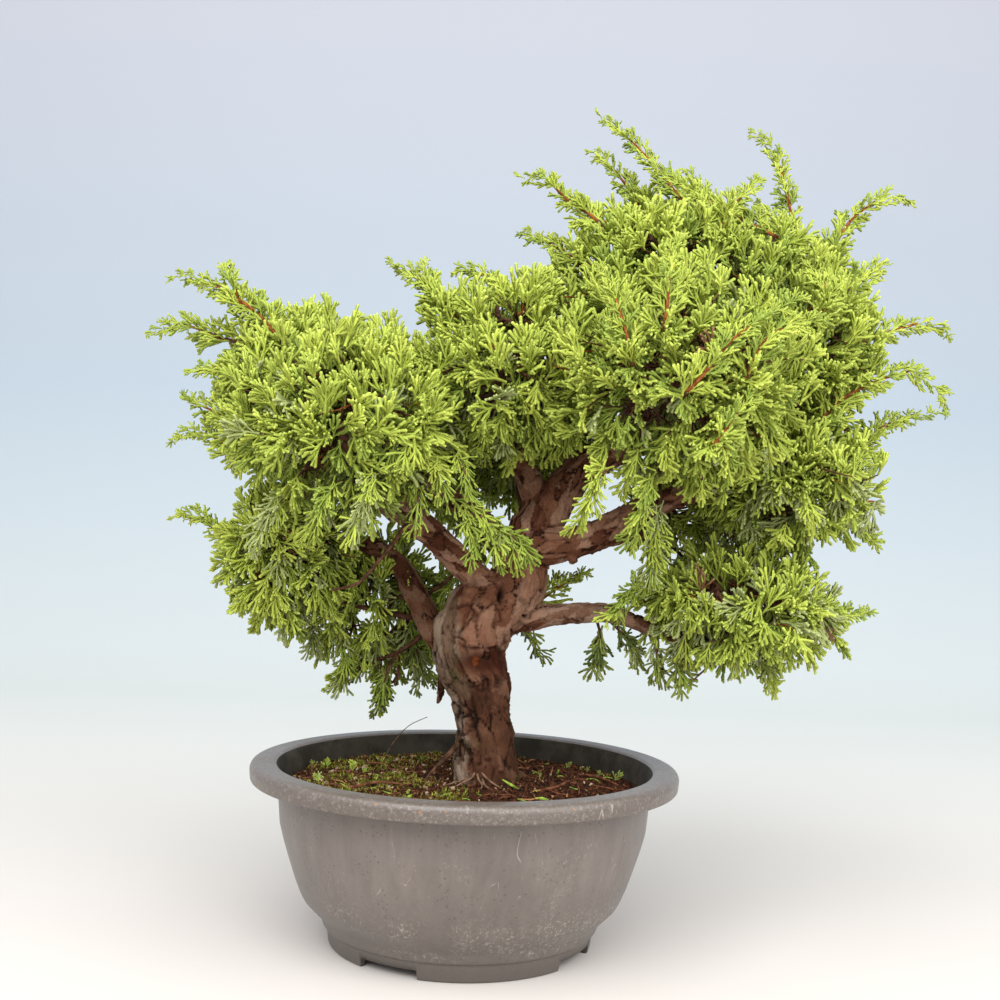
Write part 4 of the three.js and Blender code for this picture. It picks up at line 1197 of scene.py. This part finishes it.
def make_wood():
    """The skin, moved out and in by its bark, with the values that its material reads."""
    piece = bark_skin()
    mesh = piece.data
    points = (point_vectors(mesh, "co") - POT_AXIS) / MM
    normals = point_vectors(mesh, "normal")
    relief, tone, cracks, radius, places = bark_relief(points)
    height = points[:, 2]
    # The hollows: dented in, and painted nearly black as the shade inside them.
    shaded_hollow = sum(near(points, *place) for place in HOLLOWS) * smooth_step(0.1, -0.3, normals[:, 1])
    knobbly = near(points, *KNOBBLY_SPOT)
    knobs = layered_noise(points / 3.4, 61)
    # The fold under the knobs: dented in, and painted dark as its shadow.
    shaded_fold = np.clip(1.5 * near(points, *SHADED_FOLD), 0, 1)
    seams = seam_share(points, normals)
    plate = smooth_step(0.35, 0.55, near(points, *RAISED_PLATE))
    moved = (0.7 + 0.16 * np.minimum(radius, 18)) * (relief - 0.45)
    moved += 0.09 * radius * layered_noise(points / 13, 3, 2)
    moved += 3 * knobbly * knobs + 1.3 * plate - 5 * shaded_hollow - 1.5 * seams - 2.4 * shaded_fold
    points = points + normals * moved[:, None]
    mesh.vertices.foreach_set("co", placed(points).astype(np.float32).ravel())

    shade = layered_noise(points / 7, 21)
    mossy = smooth_step(0.1, 0.45, shade + 0.35 * smooth_step(100, 88, height) - 0.3)
    mossy = mossy * smooth_step(125, 90, height)
    mossy += sum(near(points, *place) for place in MOSSY_SPOTS) * smooth_step(-0.05, 0.3, shade)
    leftward = smooth_step(5, -3, points[:, 0] - 4 * shade) * smooth_step(152, 142, height)
    rightward = smooth_step(12, 20, points[:, 0] + 3 * shade) * smooth_step(160, 150, height)
    weathered = smooth_step(2, -14, points[:, 0] - 8 * shade) * smooth_step(225, 185, height)
    weathered = (weathered + 1.1 * leftward) * smooth_step(9, 0, points[:, 1])
    tone = tone + 0.1 * smooth_step(160, 176, height) - 0.3 * rightward
    tone += sum(change * near(points, place, reach) for place, reach, change in TONED_SPOTS)
    values = {
        "relief": relief,
        "tone": tone,
        "cracks": cracks * (1 - 0.5 * smooth_step(160, 172, height)),
        "mossy": np.clip(mossy, 0, 1) * 0.8,
        "peeled": near(points, *PEELED_SPOT),
        "shaded_hollow": np.clip(shaded_hollow * 1.6 - 0.25, 0, 1),
        "weathered": weathered + 0.75 * near(points, *GREY_SPOT),
        "shaded_fold": shaded_fold,
        "low": smooth_step(156, 138, height + 5 * shade) * (1 - 0.75 * leftward),
        "seams": np.maximum(seams, knobbly * smooth_step(-0.1, -0.5, knobs)),
        "grain_x": places[:, 0] * MM,
        "grain_y": places[:, 1] * MM,
        "grain_z": places[:, 2] * 0.22 * MM,
    }
    for name, value in values.items():
        add_values(mesh, name, value)
    mesh.update()
    mesh.polygons.foreach_set("use_smooth", np.full(len(mesh.polygons), True))
    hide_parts("trunk", *BOUGHS)


def make_roots():
    threads = [tube(points, [0.75, 0.6, 0.3], 6, 12) for points in ROOT_THREADS]
    threads.append(tube(*HAIR_TWIG, 4, 14))
    for name, parts, material_name, dark, light in (
        ("root_threads", merged(threads), "root_bark", (0.07, 0.036, 0.019), (0.22, 0.13, 0.08)),
        ("bare_root", tube(*BARE_ROOT, 9, 30), "bare_root", (0.04, 0.019, 0.01), (0.13, 0.065, 0.035)),
    ):
        add_piece(name, *parts, [small_material("twig", material_name, dark, light)], "bark")


# The foliage. A plume is a curved stalk with alternate fingers, which fork once.
def finger():
    """A blunt three-sided finger along +X of unit length and radius, and which faces are its tip."""
    angles = around(3) + math.pi / 2
    rings = [
        columns(x, radius * np.cos(angles + turn), radius * np.sin(angles + turn))
        for x, radius, turn in ((0, 0.84, 0), (0.87, 1, 0.5))
    ]
    vertices = np.vstack([*rings, [[1, 0, 0]]])
    walls = []
    for side in range(3):
        after = (side + 1) % 3
        walls += [(side, after, 3 + after), (side, 3 + after, 3 + side)]
    tips = [(3 + side, 3 + (side + 1) % 3, 6) for side in range(3)]
    return vertices, np.array(walls + tips), np.array([0] * 6 + [1] * 3)


def plume(random, length, sides, spread, thickness=1.0, fullness=0.8, spacing=5.5):
    """The fingers of one plume along +X with its face to +Z: starts, ends, radii, and which of them
    end in a tip. Its stalk has alternate side branches that bend along it and end about level, and
    these have shorter ones."""
    fingers = []

    def branch(start, heading, bend, reach, level, count):
        def stalk(t):
            return start + (heading * t + bend * t * t) * reach

        pieces = 3 if reach > 16 else 2 if reach > 8 else 1
        joints = [stalk(t) for t in np.linspace(0, 1, pieces + 1)]
        for number, (low, high) in enumerate(itertools.pairwise(joints), 1):
            is_tip = number == pieces
            end = high if is_tip else high + 0.24 * (high - low)
            fingers.append((low, end, FINGER_RADIUS * thickness * random.uniform(0.9, 1.08), is_tip))
        if level == 0:
            return
        way = random.choice([-1, 1])
        for index in range(count):
            t = 0.08 + 0.76 * (index + random.uniform(0.15, 0.85)) / count
            way = -way
            side_reach = min(reach * (1 - t) * fullness + 3.2, 0.62 * length) * random.uniform(0.85, 1.12)
            angle = math.radians(random.uniform(*spread))
            lift = math.radians(random.uniform(-38, 38))
            here = unit(stalk(t + 0.05) - stalk(t))
            across = unit([-here[1], here[0], 0])
            out = across * way * math.cos(lift) + np.array([0, 0, math.sin(lift)])
            side_heading = unit(here * math.cos(angle) + out * math.sin(angle))
            side_bend = 0.3 * (here - side_heading) + random.normal(0, 0.06, 3)
            branch(stalk(t), side_heading, side_bend, side_reach, level - 1, int(side_reach / spacing))

    branch(np.zeros(3), np.array([1.0, 0, 0]), random.normal(0, 0.08, 3), length, 2, sides)
    return [np.array(values) for values in zip(*fingers)]


def plume_mesh(random, starts, ends, radii, tipped):
    """The fingers of a plume as one mesh, and which faces are tips."""
    vertices, triangles, tips = finger()
    along = ends - starts
    length = np.linalg.norm(along, axis=1)
    x = along / length[:, None]
    y = unit(np.cross(x, random.normal(size=(len(x), 3))))
    z = np.cross(x, y)
    matrices = np.stack([x * length[:, None], y * radii[:, None], z * radii[:, None]], axis=2)
    points, faces = copies(vertices, triangles, matrices, starts)
    shown = np.outer(~tipped, tips).ravel() == 0  # the ends inside a stalk are left out
    return points, faces[shown], np.outer(tipped, tips).ravel()[shown]


def even_directions(count):
    """Directions spread evenly over a sphere."""
    index = np.arange(count)
    height = 1 - (2 * index + 1) / count
    across = np.sqrt(1 - height**2)
    return columns(across * np.cos(index * EVEN_TURN), across * np.sin(index * EVEN_TURN), height)


def cell_planes(mass):
    """The planes between a mass and its neighbours, as outward normals and distances."""
    normals, limits = [], []
    for other in MASSES.values():
        if other is mass:
            continue
        away = other.middle - mass.middle
        distance = np.linalg.norm(away)
        share = distance**2 + mass.size.mean() ** 2 - other.size.mean() ** 2
        normals.append(away / distance)
        limits.append(normals[-1] @ mass.middle + share / (2 * distance))
    return np.array(normals), np.array(limits)


def free_reach(mass, planes, ways):
    """How far along each direction, as a share of the mass's size, its own space goes."""
    normals, limits = planes
    toward = ways * mass.size @ normals.T
    room = limits + CELL_OVERLAP - normals @ mass.middle
    shares = np.where(toward > 1e-6, room / np.maximum(toward, 1e-6), 9)
    return np.minimum(shares.min(axis=1), 1)


class Foliage:
    """Gathers the plumes and twigs of all masses."""

    def __init__(self):
        """Makes the templates: fans, plain plumes, hanging ones and the tails of shoots."""
        random = np.random.default_rng(5)
        kinds = [kind for kind, values in PLUME_KINDS.items() for _ in range(values[0])]
        shapes = [plume(random, *PLUME_KINDS[kind][1:]) for kind in kinds]
        self.templates = [plume_mesh(random, *shape) for shape in shapes]
        self.groups = {kind: [i for i, own in enumerate(kinds) if own == kind] for kind in PLUME_KINDS}
        self.plumes = []
        self.tubes = {"brown": [], "orange": []}

    def add_plume(self, random, kind, root, direction, face, scale, colour):
        x = unit(direction)
        y = unit(np.cross(face, x))
        matrix = np.stack([x, y, np.cross(x, y)], axis=1) * scale
        self.plumes.append((random.choice(self.groups[kind]), root, matrix, colour))

    def add_twig(self, kind, points, radii, sides, steps):
        self.tubes[kind].append(tube(points, radii, sides, steps))


def pick_colour(random, mass, bright):
    """A leaf colour for a spray: bright is how far out and up it lies, from 0 to 1; paler greens go further
    out and higher up, partly the paler new growth and partly painted light and shade.
    """
    value = bright + random.normal(0, 0.14)
    if random.random() < 0.001 + 0.012 * mass.grey:
        return "brown"
    if random.random() < mass.grey * 0.75:
        return "grey" if value < 0.85 else "light"
    for least, colour in ((0.84, "tip"), (0.6, "light"), (0.4, "mid"), (0.22, "olive")):
        if value > least:
            return colour
    return "deep"


def growing_way(random, mass, outward):
    """Which way sprays point: outward, and up where they are in the light or down where they hang."""
    lift = np.clip(1.3 * (outward[2] + 0.45 - 1.1 * mass.hang), -0.8, 0.75)
    return unit(0.55 * outward + np.array([0, 0, lift]) + random.normal(0, 0.2, 3))


def grow_runner(foliage, random, points, bare, colours=("light", "tip", "mid")):
    """A long shoot: a stem, brown at its foot and orange further on, with alternate fans that start
    where its bare share ends and grow smaller towards its tip."""
    line = smooth_curve(points, 40)
    last = len(line) - 1
    turn = int(last * (bare + 0.2))
    foliage.add_twig("brown", line[np.linspace(0, turn, 4).astype(int)], [1.7, 1.4, 1.2], 5, 6)
    foliage.add_twig("orange", line[np.linspace(turn - 1, 29, 4).astype(int)], [1.15, 0.9, 0.65], 5, 7)
    tangents = unit(np.gradient(line, axis=0))
    way = 1
    count = max(7, int(step_lengths(line).sum() * (1 - bare) / FAN_SPACING))
    for along in np.linspace(0, 1, count):
        at = int((bare + (0.95 - bare) * along) * last)
        way = -way
        side = unit(np.cross(tangents[at], [0.1, -1, 0.25]))
        lift = random.normal(0.12, 0.6)
        out = unit(side * way * math.cos(lift) + np.array([0, -1, 0.3]) * math.sin(lift))
        lean = random.uniform(0.55, 0.75) + 0.15 * along
        direction = unit(tangents[at] * lean + out * (1.25 - lean))
        scale = random.uniform(0.9, 1.15) * (1 - 0.55 * along)
        colour = random.choice(colours, p=[0.45, 0.33, 0.22])
        face = random.normal(0, 0.5, 3) + [0, -1, 0.5]
        kind = "plain" if along < 0.35 and random.random() < 0.5 else "fan"
        foliage.add_plume(random, kind, line[at], direction, face, scale, colour)
    foliage.add_plume(random, "tail", line[-12], line[-1] - line[-12], [0, -1, 0.4], 0.9, "tip")


def nearest_to(place, points, chance=0):
    return points[np.argmin(np.linalg.norm(points - place, axis=1) + chance)]


def grow_mass(foliage, mass, random):
    """A stem from the bough's tip to the middle, twigs from there, tufts of plumes on their ends."""
    points, radii = BOUGHS[mass.bough]
    line = smooth_curve(points, 40)
    heading = unit(line[-1] - line[-3])
    stem = smooth_curve([line[-1] - heading * 3, line[-1] + heading * 8, mass.middle], 30)
    foliage.add_twig("brown", stem[[0, 10, 20, 29]], [radii[-1] * 0.95, radii[-1] * 0.6, 2.0], 7, 10)
    planes = cell_planes(mass)
    ways = unit(even_directions(TUFTS_PER_MASS) + random.normal(0, 0.07, (TUFTS_PER_MASS, 3)))
    skeleton = [stem[8:]]
    for way, free in zip(ways, free_reach(mass, planes, ways)):
        if free < LEAST_ROOM:
            continue
        end = mass.middle + way * mass.size * free * 0.5
        roots = np.vstack(skeleton)
        root = nearest_to(end, roots, random.uniform(0, 9, len(roots)))
        bow = random.normal(0, 0.09, 3) * np.linalg.norm(end - root)
        twig = smooth_curve([root, (root + end) / 2 + bow, end], 12)
        skeleton.append(twig[4:10])
        foliage.add_twig("brown", twig[[0, 4, 8, 11]], [1.4, 0.95, 0.7], 5, 5)
        share = mass.close if free > 0.8 else 0.55 * mass.close
        grow_tuft(foliage, random, mass, planes, way, twig, max(2, round(share * TWIGLETS_PER_TUFT)))
    for shoot in mass.shoots:
        base = np.array(shoot[0], float)
        root = nearest_to(base, np.vstack(skeleton))
        gap = np.linalg.norm(base - root)
        way_in = [root, (root + base) / 2 + random.normal(0, 2, 3)] if gap > 8 else [root]
        grow_runner(foliage, random, [*way_in, *shoot], 0.55 * gap / (step_lengths(shoot).sum() + gap))


def grow_tuft(foliage, random, mass, planes, way, twig, count):
    """Twiglets that fan out from one twig, each with a plume at its end and others beside it."""
    normals, limits = planes
    first = unit(np.cross(way, [0.2, 0.3, 0.93]))
    second = np.cross(way, first)
    phase = random.uniform(0, 2 * math.pi)
    for number in range(count):
        aside = TUFT_SPREAD * math.sqrt((number + 0.5) / count)
        turn = phase + number * EVEN_TURN
        outward = unit(way + aside * (math.cos(turn) * first + math.sin(turn) * second))
        free = free_reach(mass, planes, outward[None])[0]
        depths = [random.uniform(*ends) for ends in ((0.86, 1.0), (0.64, 0.84), (1.0, 1.1))]
        outer = mass.middle + mass.size * outward * free * random.choice(depths, p=[0.62, 0.26, 0.12])
        hanging = mass.hang > random.uniform(0.15, 0.9)
        kind = "hanging" if hanging else random.choice(["plain", "fan"], p=[0.7, 0.3])
        away = growing_way(random, mass, outward)
        scale = random.uniform(0.85, 1.15)
        end_root = outer - away * PLUME_LENGTHS[kind] * scale
        start = twig[random.integers(4, 12)]
        run = end_root - start
        reach = np.linalg.norm(run)
        if reach < 5:
            continue
        bow = away * -0.12 * reach + random.normal(0, 0.04 * reach, 3)
        twiglet = smooth_curve([start, start + run * 0.55 + bow, end_root], 10)
        stem_kind = "orange" if random.random() < 0.16 else "brown"
        foliage.add_twig(stem_kind, twiglet[[0, 5, 9]], [0.75, 0.6, 0.45], 3, 4)
        sprays = [(twiglet[9], away, scale, kind)]
        turn = random.uniform(0, 2 * math.pi)
        across = unit(np.cross(away, [0.3, 0.8, 0.5]))
        for share in SIDE_SPRAYS:
            if reach * share < 6 or random.random() < 0.15:
                continue
            turn += SPRAY_TURN
            beside = math.cos(turn) * across + math.sin(turn) * np.cross(away, across)
            heading = unit(away * 0.75 + beside * 0.62 + outward * 0.25)
            side_kind = kind if hanging else "fan" if share > 0.8 else "plain"
            sprays.append((twiglet[int(round(share * 9))], heading, random.uniform(0.75, 1.05), side_kind))
        for root, heading, spray_scale, spray_kind in sprays:
            end = root + heading * PLUME_LENGTHS[spray_kind] * spray_scale
            relative = np.linalg.norm((end - mass.middle) / mass.size)
            if np.any(normals @ end > limits + CELL_OVERLAP) or relative > FURTHEST:
                continue
            face = unit(outward + random.normal(0, 0.3, 3))
            # Outer and upper sprays get paler greens and inner ones darker: partly the paler new growth
            # outside, partly painted light and shade. The dimming in the shaded hollows is painted shade, and
            # the hanging masses' lift is painted light.
            bright = 0.22 + 0.5 * smooth_step(0.5, 1.0, relative) + 0.15 * (1 + outward[2])
            bright -= sum(drop * near(end[None], place, span)[0] for place, span, drop in SHADED_HOLLOWS)
            colour = pick_colour(random, mass, bright + 0.12 * mass.hang)
            foliage.add_plume(random, spray_kind, root, heading, face, spray_scale, colour)


def grow_spray(foliage, random, count, kind, colours, points):
    """A spray by itself: a thin twig with plumes that fan out along its outer half."""
    line = smooth_curve(points, 30)
    foliage.add_twig("brown", line[[0, 9, 18, 24]], [1.1, 0.8, 0.5], 4, 7)
    tangents = unit(np.gradient(line, axis=0))
    for index in range(count):
        at = min(29, int((0.42 + 0.58 * (index + 0.5) / count) * 29))
        turn = index * SPRAY_TURN
        across = unit(np.cross(tangents[at], [0.1, -1, 0.2]))
        beside = across * math.cos(turn) + np.cross(tangents[at], across) * math.sin(turn) * 0.6
        heading = unit(tangents[at] + beside * random.uniform(0.25, 0.75) + [0, 0, -0.15])
        scale = random.uniform(0.7, 0.95)
        root = line[at] - heading * PLUME_LENGTHS[kind] * 0.35 * scale
        face = random.normal(0, 0.4, 3) + [0, -1, 0.4]
        foliage.add_plume(random, kind, root, heading, face, scale, random.choice(colours.split()))


def make_foliage():
    foliage = Foliage()
    for index, mass in enumerate(MASSES.values()):
        grow_mass(foliage, mass, np.random.default_rng(index * 977 + 31))
    random = np.random.default_rng(77)
    for spray in SPRAYS:
        grow_spray(foliage, random, *spray)
    # The lone shoot takes only the palest greens: painted light where the crown shades it.
    grow_runner(foliage, random, LONE_SHOOT, 0.05, ("tip", "tip", "light"))
    for x, y, lean, scale, colour in SPRIGS:
        root, = on_soil([[x, y]], -0.5)
        foliage.add_plume(random, "fan", root, [lean, -0.1, 1], [0, -1, 0.3], scale, colour)
    for line, foot, tip in BARE_TWIGS:
        foliage.add_twig("brown", line, [foot, (foot + tip) / 2, tip], 5, 10)
    for colour, (body, tips) in LEAF_COLOURS.items():
        materials = [
            leaf_material(f"leaf_{colour}", body, 0.84),
            leaf_material(f"leaf_{colour}_tip", tips, 0.9),
        ]
        chosen = [plume for plume in foliage.plumes if plume[3] == colour]
        triangles = sum(len(foliage.templates[plume[0]][1]) for plume in chosen)
        count = math.ceil(triangles / PIECE_LIMIT)
        for number in range(count):
            name = f"leaves_{colour}_{number + 1}" if count > 1 else f"leaves_{colour}"
            piece = leaf_piece(foliage, name, chosen[number::count], materials)
            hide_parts(*MASSES)
    for kind, dark, light in (
        ("brown", (0.05, 0.022, 0.014), (0.14, 0.062, 0.035)),
        ("orange", (0.13, 0.034, 0.01), (0.32, 0.1, 0.026)),
    ):
        material = small_material("twig", f"twig_{kind}", dark, light)
        add_piece(f"twigs_{kind}", *merged(foliage.tubes[kind]), [material], "bark")


def leaf_piece(foliage, name, plumes, materials):
    """One mesh of all the given plumes."""
    parts, slots = [], []
    for template, (vertices, triangles, tip_faces) in enumerate(foliage.templates):
        alike = [plume for plume in plumes if plume[0] == template]
        if alike:
            _, places, matrices, _ = zip(*alike)
            parts.append(copies(vertices, triangles, np.array(matrices), np.array(places)))
            slots.append(np.tile(tip_faces, len(alike)))
    return add_piece(name, *merged(parts), materials, "foliage", np.concatenate(slots))


# The stage: a pale floor, a pale sky-like surround, soft light and the camera
def make_sweep():
    """A pale sweep: a floor that curves up into a wall far behind, from cream to pale blue."""
    bend = [(SWEEP_START + SWEEP_RADIUS * math.sin(a), SWEEP_RADIUS * (1 - math.cos(a)))
            for a in np.linspace(0, math.pi / 2, 24)]
    profile = [(-SWEEP_HALF_WIDTH, 0), *bend, (SWEEP_START + SWEEP_RADIUS, SWEEP_HEIGHT)]
    vertices = [(x, y, z) for y, z in profile for x in (-SWEEP_HALF_WIDTH, SWEEP_HALF_WIDTH)]
    left = 2 * np.arange(len(profile) - 1)
    triangles = np.concatenate([columns(left, left + 1, left + 3), columns(left, left + 3, left + 2)])
    material, tree = new_material("sweep", (0.9, 0.88, 0.84), 0.8, 0.1)
    along = tree.times(tree.plus(tree.axis("Y"), tree.axis("Z")), 1 / SWEEP_COLOUR_LENGTH)
    tree.layers(tree.ramp(along, SWEEP_COLOURS))
    add_piece("sweep", vertices, triangles, [material], None)


def soft_light(name, place, size, power):
    """A square light that faces the middle of the tree."""
    light = bpy.data.lights.new(name, "AREA")
    light.shape = "SQUARE"
    light.size = size
    light.energy = power
    lamp = add_object(name, light)
    lamp.location = placed(place)
    lamp.rotation_mode = "QUATERNION"
    lamp.rotation_quaternion = Vector(LIGHT_AIM - np.array(place)).to_track_quat("-Z", "Y")


def make_surround():
    world = bpy.data.worlds.new("surround")
    bpy.context.scene.world = world
    world.use_nodes = True
    background = world.node_tree.nodes["Background"]
    background.inputs["Color"].default_value = (0.95, 0.97, 1.0, 1)
    background.inputs["Strength"].default_value = 1.05
    soft_light("key", [-400, -1200, 1500], 1.6, 36)
    soft_light("fill", [1000, -1000, 900], 1.4, 18)


def make_camera():
    camera = bpy.data.cameras.new("camera")
    camera.sensor_width = SENSOR_MM
    camera.lens = FOCAL_PIXELS * SENSOR_MM / FRAME_PIXELS
    eye = add_object("camera", camera)
    eye.location = placed(CAMERA_PLACE)
    tilt = Matrix.Rotation(math.radians(90 + CAMERA_TILT_UP), 3, "X")
    roll = Matrix.Rotation(math.radians(CAMERA_ROLL), 3, "Z")
    eye.rotation_euler = (tilt @ roll).to_euler()
    bpy.context.scene.camera = eye
    bpy.context.scene.view_settings.view_transform = "Standard"


make_pot()
make_soil()
make_moss()
make_litter()
make_wood()
make_roots()
make_foliage()
make_sweep()
make_surround()
make_camera()
